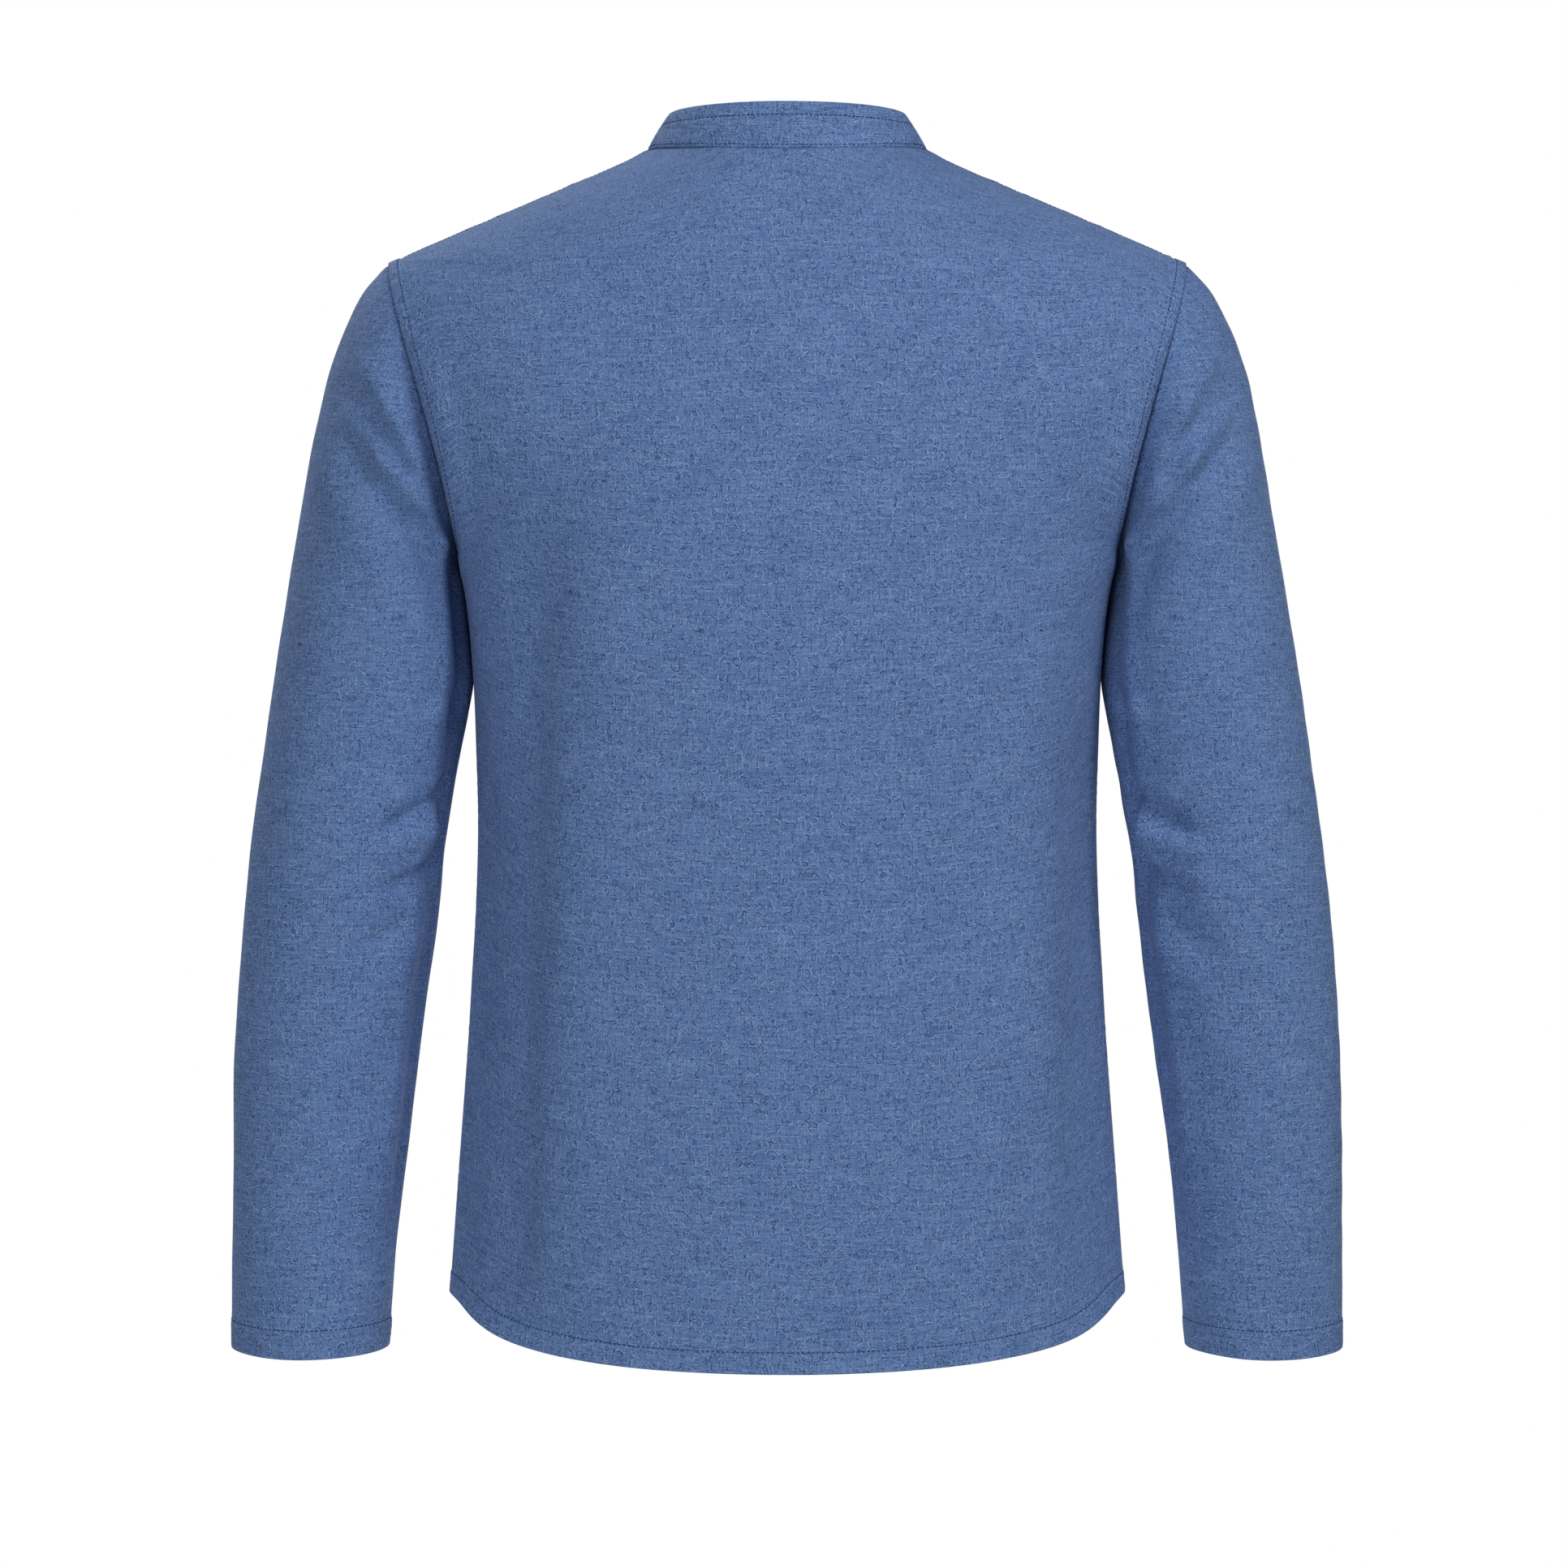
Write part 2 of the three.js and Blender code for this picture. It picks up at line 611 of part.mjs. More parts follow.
// A dished disc with a raised rim and four holes, its axis along +Z and its back at z = 0.
function buttonGeometry() {
  const { radius, thick, bevel, rim, slope, dish, holeCount, holeRadius } = button;
  const profile = [
    [0, 0], [radius - bevel, 0], [radius, bevel], [radius, thick - bevel], [radius - bevel, thick],
    [radius - rim, thick], [radius - rim - slope, thick - dish], [0, thick - dish],
  ];
  const disc = new THREE.LatheGeometry(profile.map(([x, y]) => new THREE.Vector2(x, y)), button.sides);
  disc.rotateX(Math.PI / 2);
  let solid = toSolid(disc);
  for (let k = 0; k < holeCount; k += 1) {
    const angle = ((2 * k + 1) * Math.PI) / holeCount;
    const hole = new THREE.CylinderGeometry(holeRadius, holeRadius, 3 * thick, button.holeSides);
    hole.rotateX(Math.PI / 2);
    hole.translate(button.holeOffset * Math.cos(angle), button.holeOffset * Math.sin(angle), 0);
    solid = solid.subtract(toSolid(hole));
  }
  return fromSolid(solid);
}

// Places a button down the centre front, flat on the placket.
function placeButton(mesh, number) {
  const wanted = panels.front.neckZ - buttonFirst - number * buttonPitch;
  const middle = (row) => row[slashColumn].clone().add(row[slashColumn + 1]).multiplyScalar(0.5);
  const above = frontGrid.face.findIndex((row) => row[slashColumn].z > wanted);
  const high = middle(frontGrid.face[above]);
  const low = middle(frontGrid.face[above - 1]);
  const share = (wanted - low.z) / (high.z - low.z);
  const out = new THREE.Vector3(1, 0, 0).cross(high.clone().sub(low)).normalize();
  mesh.position.copy(low.lerp(high, share));
  mesh.position.addScaledVector(out, clothWall + 2 * seamGap + button.seat);
  mesh.quaternion.setFromUnitVectors(up, out);
}

const chambray = (shade) => new THREE.MeshStandardMaterial({ color: shade, roughness: 0.92, metalness: 0 });
const dyedResin = new THREE.MeshStandardMaterial({ color: '#3d5c93', roughness: 0.38, metalness: 0 });

const kurta = new THREE.Group();
function add(name, geometry, material) {
  const mesh = new THREE.Mesh(geometry, material);
  mesh.name = name;
  kurta.add(mesh);
  return mesh;
}

add('back', backGeometry(), chambray('#5972a0'));
add('front', frontGeometry(), chambray('#5972a0'));
add('sleeve_left', sleeveGeometry(false), chambray('#56709e'));
add('sleeve_right', sleeveGeometry(true), chambray('#56709e'));
add('collar', collarGeometry(), chambray('#5c75a2'));
add('placket_over', placketGeometry(clothWall + seamGap, seamGap), chambray('#5c75a2'));
add('placket_under', placketGeometry(-clothWall - seamGap, -2 * clothWall - seamGap), chambray('#5c75a2'));
for (let number = 0; number < buttonCount; number += 1) {
  placeButton(add(`button_${number + 1}`, buttonGeometry(), dyedResin), number);
}

export default kurta;
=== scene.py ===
import math

import bmesh
import bpy
import numpy as np
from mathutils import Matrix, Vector


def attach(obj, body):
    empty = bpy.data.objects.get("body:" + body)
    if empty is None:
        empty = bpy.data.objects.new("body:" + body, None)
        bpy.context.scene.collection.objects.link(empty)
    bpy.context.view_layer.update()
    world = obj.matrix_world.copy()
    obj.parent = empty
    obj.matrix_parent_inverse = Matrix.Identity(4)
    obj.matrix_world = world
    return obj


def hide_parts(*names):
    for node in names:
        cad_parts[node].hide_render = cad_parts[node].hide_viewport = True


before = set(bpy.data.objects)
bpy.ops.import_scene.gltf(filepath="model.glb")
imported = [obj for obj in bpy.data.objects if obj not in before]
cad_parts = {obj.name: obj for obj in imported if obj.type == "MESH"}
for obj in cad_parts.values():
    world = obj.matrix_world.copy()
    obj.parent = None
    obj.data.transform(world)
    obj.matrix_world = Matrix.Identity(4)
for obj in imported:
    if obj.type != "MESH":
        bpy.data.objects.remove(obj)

# A short kurta of blue chambray, filled out as when worn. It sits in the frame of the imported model:
# +Z up, the back facing +Y, the wearer's left at +X, the neck points level with the origin.
mm = 0.001
far = 1e3  # in millimetres, out of reach of any seam
mirrorX = np.array([-1, 1, 1])
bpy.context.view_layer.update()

# The form of the garment in millimetres, the same sections as its solids.
form = {
    "sideLine": [
        # height, half width
        (-668, 197.6), (-597, 192.6), (-520, 187.0), (-482, 184.8), (-444, 182.6),
        (-395, 181.3), (-349, 182.4), (-313, 183.6), (-276, 186.3), (-238, 191.5),
    ],
    "centreLine": [
        # height, centre back, centre front, squareness
        (-700, 116.5, 113, 2.15), (-600, 115, 112, 2.18), (-480, 112.5, 111, 2.24),
        (-420, 113.5, 112.5, 2.29), (-360, 116.5, 115, 2.35), (-300, 120, 118, 2.42),
        (-240, 121, 119.5, 2.44), (-200, 119, 117.5, 2.38), (-160, 114.5, 112, 2.24),
        (-120, 107, 102, 2.1), (-80, 95, 87, 2.02), (-52, 84, 72, 2), (-7, 58, 50, 2),
    ],
    "shoulderLine": [
        # share of the seam, half width, height
        (0, 233.5, -67), (0.3, 187, -46.8), (0.6, 141, -27.2), (0.88, 97.5, -8.6), (1, 81, 0),
    ],
    "sleeveOuter": [
        # height, distance from the centre
        (-67, 233.5), (-82, 247.3), (-101, 257.5), (-120, 265.2), (-140, 270.8), (-197, 281.5),
        (-273, 294.5), (-349, 305.5), (-425, 315), (-501, 321.8), (-578, 325.3), (-701, 325.5),
    ],
    "sleeveInner": [
        (-238, 192.1), (-247, 191.7), (-262, 190.3), (-280, 188.3), (-300, 186.4), (-316, 185.7),
        (-332, 187.5), (-349, 190.6), (-387, 197), (-444, 204.6), (-540, 217), (-616, 227),
        (-654, 230.6), (-701, 234),
    ],
    "sleeveDepth": [
        # share of the length, half depth, sway
        (0, 68, 0), (0.15, 65, 0), (0.45, 60, 4), (0.62, 54, 5), (1, 45, -4),
    ],
    "shoulderPoint": (233.5, -67),
    "underarmPoint": (191.5, -238),
    "armholeHalfDepth": 68,
    "bowTilt": 3,
    "sideHem": -668,
    "cuff": -701,
    "outerEase": 1.3,
    "innerEase": 1.6,
    "armholeReach": 0.16,
    "sideDip": 1,
    "shoulderDip": 1.6,
    "hemRound": 0.42,
    "hemRoundPower": 3,
    "cuffSag": 2.4,
    "cuffSagReach": 0.1,
    "sleeveRadius": 56,  # of the ring on which folds, waves and stitches of a sleeve are laid out
    "armholeRadius": 62,
    "cuffRadius": 46,
    "foldFade": 1.6,
}

# What differs between the two panels: side, heights of the rows at the centre, scoop of the armhole.
panelCut = {
    "back": {"side": 1, "hem": -700, "underarm": -242, "shoulder": -75, "neck": -7, "bow": -3, "column": 1},
    "front": {"side": -1, "hem": -700, "underarm": -252, "shoulder": -104, "neck": -52, "bow": -5, "column": 2},
}

# Cloth and sewing sizes in millimetres.
cloth = {
    "thickness": 0.9,        # over twice the real 0.4, so that open edges show
    "seamGap": 0.15,         # half the gap between two solids at a seam
    "seamOverlap": 0.05,     # how far two sewn edges run into each other
    "sleeveTuck": 0.25,      # how far the head of the sleeve runs into the armhole
    "hemTurn": 12,
    "cuffTurn": 17,
    "hemThickness": 1.9,
    "hemStep": 0.45,         # rise of the turned cloth over the single one
    "hemFlare": 2,           # the sewn hem tips out a little
    "weltWidth": 7.5,        # seam allowance felled towards the body
    "weltRise": 0.9,
    "grooveDepth": 0.6,
    "grooveWidth": 0.8,
    "seamDip": 0.8,
    "seamReach": 1.2,
    "puckerPitch": 6.0,
    "puckerHeight": 0.36,
    "armpitDip": 8.5,        # how deep the armhole seam sinks between body and sleeve near the underarm
    "armpitReach": (9, 22),  # over this much of the body and of the sleeve
    "panelWaves": ((0.55, 95), (0.16, 34)),  # height and size of the soft unevenness
    "sleeveWaves": ((0.5, 80), (0.14, 30)),
}

# Cells of the cloth grids. All counts are even, because the inside of the cloth has every second line.
cells = {
    "seam": 11, "seamPitch": 0.9, "wide": {"back": 103, "front": 96}, "placket": 7,
    "hemEdge": (0, 0.15, 0.5, 0.95), "hemPitch": 1.05, "hemRows": 21,
    "sideRows": 151, "armholeRows": 80, "shoulderRows": 46,
    "sleeveRound": 176, "sleeveTop": 16, "sleeveRows": 220, "cuffPitch": 1.05, "cuffRows": 22,
}


def curveThrough(table, column):
    keys = np.array([row[0] for row in table], float)
    values = np.array([row[column] for row in table], float)
    after = np.minimum(np.arange(len(keys)) + 1, len(keys) - 1)
    before = np.maximum(np.arange(len(keys)) - 1, 0)
    slopes = (values[after] - values[before]) / (keys[after] - keys[before])
    sense = math.copysign(1, keys[-1] - keys[0])

    def at(where):
        where = np.asarray(where, float)
        i = np.clip(np.searchsorted(keys * sense, where * sense, side="left") - 1, 0, len(keys) - 2)
        span = keys[i + 1] - keys[i]
        t = np.clip((where - keys[i]) / span, 0, 1)
        ease = t * t * (3 - 2 * t)
        bend = (1 - t) * span * slopes[i] - t * span * slopes[i + 1]
        return values[i] + (values[i + 1] - values[i]) * ease + t * (1 - t) * bend

    return at


def mix(a, b, t):
    return a + (b - a) * t


def smooth(low, high, x):
    t = np.clip((x - low) / (high - low), 0, 1)
    return t * t * (3 - 2 * t)


def hump(x, width):
    return np.exp(-(x / width) ** 2)


# Soft uneven relief of about the given size, made of a few slanting waves.
def softNoise(x, y, size, seed):
    rng = np.random.default_rng(seed)
    total = 0
    for _ in range(9):
        turn = rng.uniform(0, math.pi)
        pitch = size * rng.uniform(0.8, 2.2)
        phase = rng.uniform(0, 2 * math.pi)
        total = total + np.sin((x * math.cos(turn) + y * math.sin(turn)) * 2 * math.pi / pitch + phase)
    return total / 3.5


# Uneven ripples along a line of stitching.
def ripple(along, pitch, seed):
    rng = np.random.default_rng(seed)
    total = 0
    for share in (0.72, 1.0, 1.37, 1.9):
        total = total + np.sin(along * 2 * math.pi / (pitch * share) + rng.uniform(0, 6.28)) / share
    fade = 0.55 + 0.45 * np.sin(along * 2 * math.pi / (pitch * 9.3) + rng.uniform(0, 6.28))
    return total * fade / 2.2


# A soft ridge or trough about each line, fading out at both ends.
def foldLift(folds, x, y):
    lift = 0
    for x0, y0, x1, y1, width, height in folds:
        dx, dy = x1 - x0, y1 - y0
        length = math.hypot(dx, dy)
        along = ((x - x0) * dx + (y - y0) * dy) / length
        off = ((x - x0) * dy - (y - y0) * dx) / length
        beyond = np.maximum(np.maximum(-along, along - length), 0)
        lift = lift + height * np.exp(-(off / width) ** 2 - (beyond / (form["foldFade"] * width)) ** 2)
    return lift


halfWidthAt = curveThrough(form["sideLine"], 1)
squareAt = curveThrough(form["centreLine"], 3)
shoulderXAt = curveThrough(form["shoulderLine"], 1)
shoulderZAt = curveThrough(form["shoulderLine"], 2)
outerXAt = curveThrough(form["sleeveOuter"], 1)
innerXAt = curveThrough(form["sleeveInner"], 1)
sleeveHalfAt = curveThrough(form["sleeveDepth"], 1)
swayAt = curveThrough(form["sleeveDepth"], 2)
shoulderX, shoulderZ = form["shoulderPoint"]
underarmX, underarmZ = form["underarmPoint"]
armholeOut = np.array([shoulderZ - underarmZ, 0, underarmX - shoulderX])
armholeOut = armholeOut / np.linalg.norm(armholeOut)


# The armhole seam: an oval from the shoulder point (turn 0) to the underarm (turn pi).
def armholeSeam(turn, bow):
    down, sideways = np.cos(turn), np.abs(np.sin(turn))
    scoop = sideways ** 2 * (bow + form["bowTilt"] * down)
    x = mix(underarmX, shoulderX, (1 + down) / 2) + scoop
    return x, form["armholeHalfDepth"] * sideways, mix(underarmZ, shoulderZ, (1 + down) / 2)


# Sections of a panel. rise runs 0 to 1 up the side seam, to 2 up the armhole, to 3 up the shoulder.
def panelRows(cut, rises):
    rise = np.asarray(rises, float)[:, None]
    low, middle, high = (np.clip(rise - start, 0, 1) for start in (0, 1, 2))
    side, armhole = rise <= 1, rise < 2
    sideZ = mix(form["sideHem"], underarmZ, low)
    seamX, seamY, seamZ = armholeSeam(math.pi * (1 - middle), cut["bow"])
    rows = {
        "edgeX": np.where(side, halfWidthAt(sideZ), np.where(armhole, seamX, shoulderXAt(high))),
        "edgeY": np.where(side | ~armhole, 0, seamY),
        "edgeZ": np.where(side, sideZ, np.where(armhole, seamZ, shoulderZAt(high))),
        "dip": mix(form["sideDip"], form["shoulderDip"], middle),
        "whole": low,
    }
    centre = mix(cut["hem"], cut["underarm"], low)
    centre = np.where(side, centre, mix(cut["underarm"], cut["shoulder"], middle))
    rows["centreZ"] = np.where(rise <= 2, centre, mix(cut["shoulder"], cut["neck"], high))
    rows["depth"] = curveThrough(form["centreLine"], cut["column"])(rows["centreZ"])
    rows["power"] = 2 / squareAt(rows["centreZ"])
    share = rows["edgeY"] / rows["depth"]
    rows["wholeHalf"] = rows["edgeX"] / (1 - share ** (2 / rows["power"])) ** (rows["power"] / 2)
    rows["fullAngle"] = np.arccos(share ** (1 / rows["power"]))
    return rows


def panelPoints(cut, rows, angle):
    y = rows["depth"] * np.clip(np.cos(angle), 0, 1) ** rows["power"]
    x = rows["wholeHalf"] * np.sin(angle) ** rows["power"]
    forward = np.clip((y - rows["edgeY"]) / (rows["depth"] - rows["edgeY"]), 0, 1)
    rounding = 1 - np.exp(-(forward / form["hemRound"]) ** form["hemRoundPower"])
    z = mix(rows["edgeZ"], rows["centreZ"], mix(rounding, 1, rows["whole"]) * forward ** rows["dip"])
    return np.stack([x, cut["side"] * (y + cloth["seamGap"]), z], axis=-1)


# Distance of each point along its row, from the first one.
def rowArcs(points):
    steps = np.linalg.norm(np.diff(points, axis=1), axis=2)
    return np.concatenate([np.zeros((len(points), 1)), np.cumsum(steps, axis=1)], axis=1)


def columnArcs(points):
    return rowArcs(points.transpose(1, 0, 2)).T


# A whole panel as a grid, close-set lines near the seams, and the distance of each point from the
# centre line measured over the cloth. The front also has lines down both edges of its slash.
def panelGrid(cut, rises, wide, placketHalf=0):
    rows = panelRows(cut, rises)
    share = (1 - np.cos(np.linspace(0, math.pi, 700))) / 2
    fine = panelPoints(cut, rows, rows["fullAngle"] * share)
    arcs = rowArcs(fine)
    near = np.arange(cells["seam"] + 1) * cells["seamPitch"]
    halves, distances = [], []
    for line, arc in zip(fine, arcs):
        whole = arc[-1]
        inner = np.interp(placketHalf, line[:, 0], arc) if placketHalf else 0
        target = np.concatenate([whole - near, np.linspace(whole - near[-1], inner, wide + 1)[1:]])
        if placketHalf:
            across = placketHalf * (1 - np.arange(1, cells["placket"] + 1) / cells["placket"])
            target = np.concatenate([target, np.interp(across, line[:, 0], arc)])
        halves.append(np.stack([np.interp(target, arc, line[:, k]) for k in range(3)], axis=1))
        distances.append(target)
    half, distance = np.array(halves), np.array(distances)
    points = np.concatenate([half[:, :-1] * mirrorX, half[:, ::-1]], axis=1)
    return points, np.concatenate([-distance[:, :-1], distance[:, ::-1]], axis=1)


# Unit normals of a grid, pointing away from the given inside.
def gridNormals(points, inside, closed=False):
    if closed:
        across = np.roll(points, -1, axis=1) - np.roll(points, 1, axis=1)
    else:
        across = np.gradient(points, axis=1)
    along = np.gradient(points, axis=0)
    normal = np.cross(across, along)
    normal = normal / np.maximum(np.linalg.norm(normal, axis=2, keepdims=True), 1e-9)
    return normal * np.sign(np.sum(normal * (points - inside)))


# The same for a piece that goes round the upright axis.
def outwardNormals(points):
    return gridNormals(points, points * np.array([0, 0, 1]))


# Distance of each point from a seam, and how far along the seam its nearest place lies.
def fromSeam(points, seam, reach=30):
    flat = points.reshape(-1, 3)
    distance, place = np.full(len(flat), far), np.zeros(len(flat))
    near = np.all((flat > seam.min(0) - reach) & (flat < seam.max(0) + reach), axis=1).nonzero()[0]
    step = np.diff(seam, axis=0)
    square = np.sum(step ** 2, axis=1)
    start = np.concatenate([[0], np.cumsum(np.sqrt(square))[:-1]])
    for part in np.array_split(near, max(len(near) // 3000, 1)):
        offset = flat[part, None] - seam[None, :-1]
        t = np.clip(np.sum(offset * step, axis=2) / square, 0, 1)
        gap = np.linalg.norm(offset - t[..., None] * step, axis=2)
        best = np.argmin(gap, axis=1)
        pick = np.arange(len(part))
        distance[part] = gap[pick, best]
        place[part] = start[best] + t[pick, best] * np.sqrt(square[best])
    return distance.reshape(points.shape[:2]), place.reshape(points.shape[:2])


# Where a field crosses a level on a grid, in order along the seam and evened out: a line of stitching.
def lineAt(points, normals, field, level, place, low, high, lift=0.14):
    found = []
    raised = points + normals * lift
    for axis in (0, 1):
        a, b = (np.moveaxis(field, axis, 0)[part] - level for part in (slice(None, -1), slice(1, None)))
        p, q = (np.moveaxis(raised, axis, 0)[part] for part in (slice(None, -1), slice(1, None)))
        s, e = (np.moveaxis(place, axis, 0)[part] for part in (slice(None, -1), slice(1, None)))
        hit = (a * b < 0) & (np.abs(a) + np.abs(b) < 30)
        t = a[hit] / (a[hit] - b[hit])
        found.append(np.column_stack([mix(s[hit], e[hit], t), mix(p[hit], q[hit], t[:, None])]))
    found = np.concatenate(found)
    found = found[(found[:, 0] > low) & (found[:, 0] < high)]
    slot = np.round(found[:, 0] / 1.5).astype(int)
    line = np.array([found[slot == k, 1:].mean(axis=0) for k in np.unique(slot)])
    line[1:-1] = (line[:-2] + 2 * line[1:-1] + line[2:]) / 4
    return line


# The cells of a grid of corners as faces.
def quads(corner, keep):
    a, b = corner[:-1, :-1][keep], corner[:-1, 1:][keep]
    c, d = corner[1:, 1:][keep], corner[1:, :-1][keep]
    return np.stack([a, b, c, d], axis=1)


# The faces along all edges of the cloth, each from two steps of the outside to one of the inside.
def rimFaces(solid, outerCorner, innerCorner, closed):
    rims = []
    rowsOf, columnsOf = solid.shape
    i, j = np.nonzero(solid)
    for di, dj in ((-1, 0), (1, 0), (0, -1), (0, 1)):
        ni, nj = i + di, j + dj
        if closed:
            nj = nj % columnsOf
        beyond = (ni < 0) | (ni >= rowsOf) | (nj < 0) | (nj >= columnsOf)
        edge = beyond | ~solid[np.clip(ni, 0, rowsOf - 1), np.clip(nj, 0, columnsOf - 1)]
        a, b = i[edge], j[edge]
        if di:
            row = a + (di > 0)
            ends = [(row, b), (row, b + 1)]
            line = [(2 * row, 2 * b), (2 * row, 2 * b + 1), (2 * row, 2 * b + 2)]
        else:
            column = b + (dj > 0)
            ends = [(a, column), (a + 1, column)]
            line = [(2 * a, 2 * column), (2 * a + 1, 2 * column), (2 * a + 2, 2 * column)]
        face = [outerCorner[where] for where in line] + [innerCorner[where] for where in ends[::-1]]
        if (di, dj) in ((-1, 0), (0, 1)):
            face = face[::-1]
        rims.append(np.stack(face, axis=1))
    return rims


# Turns a grid of the outer face into a closed shell of cloth. The inside has every second line only.
# u and v are millimetres over the cloth, kept as a UV map in metres. Cells where gap is true stay open.
def clothShell(name, outer, normals, thickness, u, v, closed=False, gap=None):
    rowCount, columnCount = outer.shape[:2]
    columnCells = columnCount if closed else columnCount - 1
    wall = thickness[..., None] if np.ndim(thickness) else thickness
    inner = (outer - normals * wall)[::2, ::2]
    solid = np.ones(((rowCount - 1) // 2, columnCells // 2), bool)
    if gap is not None:
        solid &= ~gap
    outerId = np.arange(rowCount * columnCount).reshape(rowCount, columnCount)
    innerId = outerId.size + np.arange(inner[..., 0].size).reshape(inner.shape[:2])
    # corners as vertex, u and v, with the first column repeated at the end of a closed grid
    uOuter, vOuter = u, v
    if closed:
        wrap = np.linalg.norm(outer[:, :1] - outer[:, -1:], axis=2)
        outerId = np.concatenate([outerId, outerId[:, :1]], axis=1)
        innerId = np.concatenate([innerId, innerId[:, :1]], axis=1)
        uOuter = np.concatenate([u, u[:, -1:] + wrap], axis=1)
        vOuter = np.concatenate([v, v[:, :1]], axis=1)
    outerCorner = np.stack([outerId, uOuter, vOuter], axis=-1)
    innerCorner = np.stack([innerId, uOuter[::2, ::2], vOuter[::2, ::2]], axis=-1)
    fine = np.repeat(np.repeat(solid, 2, axis=0), 2, axis=1)
    outside = quads(outerCorner, fine)
    inside = quads(innerCorner, solid)[:, ::-1]
    rims = rimFaces(solid, outerCorner, innerCorner, closed)
    middle = len(outside) // 2
    corners = outer.reshape(-1, 3)[outside[middle, :, 0].astype(int)]
    facing = np.cross(corners[2] - corners[0], corners[3] - corners[1])
    flip = facing @ normals.reshape(-1, 3)[int(outside[middle, 0, 0])] < 0
    faces = [group[:, ::-1] if flip else group for group in [outside, inside] + rims if len(group)]
    points = np.concatenate([outer.reshape(-1, 3), inner.reshape(-1, 3)]) * mm
    return meshObject(name, points, faces)


# A smooth-shaded mesh from points and groups of faces, each corner a vertex with its place in the UV map.
def meshObject(name, points, groups):
    corners = np.concatenate([group.reshape(-1, 3) for group in groups])
    sizes = np.concatenate([np.full(len(group), group.shape[1]) for group in groups])
    mesh = bpy.data.meshes.new(name)
    mesh.vertices.add(len(points))
    mesh.vertices.foreach_set("co", points.astype(np.float32).ravel())
    mesh.loops.add(len(corners))
    mesh.loops.foreach_set("vertex_index", corners[:, 0].astype(np.int32))
    mesh.polygons.add(len(sizes))
    mesh.polygons.foreach_set("loop_start", np.concatenate([[0], np.cumsum(sizes)[:-1]]).astype(np.int32))
    uvMap = mesh.uv_layers.new(name="cloth")
    uvMap.data.foreach_set("uv", (corners[:, 1:] * mm).astype(np.float32).ravel())
    mesh.polygons.foreach_set("use_smooth", np.ones(len(sizes), bool))
    mesh.update(calc_edges=True)
    mesh.validate()
    return placeObject(name, mesh)


def clothArea(points):
    diagonals = np.cross(points[1:, 1:] - points[:-1, :-1], points[1:, :-1] - points[:-1, 1:])
    return np.sum(np.linalg.norm(diagonals, axis=2)) / 2 * mm * mm


def placeObject(name, data):
    thing = bpy.data.objects.new(name, data)
    bpy.context.collection.objects.link(thing)
    return thing


def builtMesh(name, build):
    mesh = bpy.data.meshes.new(name)
    build.to_mesh(mesh)
    build.free()
    return mesh


# The plain mesh that an object's modifiers give.
def finishedMesh(thing):
    return bpy.data.meshes.new_from_object(thing.evaluated_get(bpy.context.evaluated_depsgraph_get()))


def tellCut(name, width, length, surface):
    print(name, "flat", round(width), "by", round(length), "mm, area", round(clothArea(surface), 5))


# The sewn edge where two pieces meet: both dip into it, and the cloth beyond stays level.
def seamValley(distance):
    return -cloth["seamDip"] * np.clip(1 - distance / cloth["seamReach"], 0, 1) ** 2


# Depth of the armhole seam between body and sleeve, largest a little above the underarm.
def seamDepth(turn):
    down = np.degrees(np.abs((turn + math.pi) % (2 * math.pi) - math.pi))
    return cloth["armpitDip"] * smooth(48, 108, down) * (1 - smooth(150, 178, down))


# The edge of a turned or felled piece, rounded on the outside.
def roundOver(distance, radius):
    inside = np.clip(1 - distance / radius, 0, 1)
    return -radius * (1 - np.sqrt(1 - inside ** 2))


# A turned hem or cuff: the step at its stitching, and its rounded edge.
def turnedHem(relief, gap, turn):
    relief = relief + cloth["hemStep"] * (1 - smooth(turn + 0.2, turn + 1.7, gap))
    return relief + roundOver(gap, cloth["hemThickness"] / 2)


def hemWall(gap, turn):
    return mix(cloth["hemThickness"], cloth["thickness"], smooth(turn, turn + 1.5, gap))


# A groove along a line of stitching, and the small puckers that it draws from the edge.
def stitchRelief(distance, along, where, slant, seed):
    groove = -cloth["grooveDepth"] * hump(distance - where, cloth["grooveWidth"])
    between = smooth(0, 0.35 * where, distance) * (1 - smooth(0.8 * where, where + 1.2, distance))
    wave = ripple(along + slant * distance, cloth["puckerPitch"], seed)
    beyond = 0.45 * hump(distance - where - 1.8, 2.2) * ripple(along, cloth["puckerPitch"] * 1.3, seed + 1)
    return groove + cloth["puckerHeight"] * (wave * between + beyond)


# Close-set rows at a turned edge, as distances from it.
def hemRows(pitch, count):
    edge = cells["hemEdge"]
    return np.concatenate([edge[:-1], edge[-1] + pitch * np.arange(count)])


def riseAt(height, cut):
    return (height - cut["hem"]) / (cut["underarm"] - cut["hem"])


# Rises of the rows of a panel, and which row of the front is the foot of its slash.
def panelRises(cut, isFront):
    side = -form["sideHem"] + underarmZ
    hem = hemRows(cells["hemPitch"], cells["hemRows"])
    rises = [hem / side, np.linspace(hem[-1] / side, 1, cells["sideRows"] + 1)[1:]]
    for first, count in ((1, cells["armholeRows"]), (2, cells["shoulderRows"])):
        rises.append(first + np.arange(1, count + 1) / count)
    rises, footRow = np.concatenate(rises), 0
    if isFront:
        foot = riseAt(placket["slashFoot"], cut)
        footRow = 2 * int(round(np.argmin(np.abs(rises - foot)) / 2))
        rises[footRow] = foot
    return rises, footRow


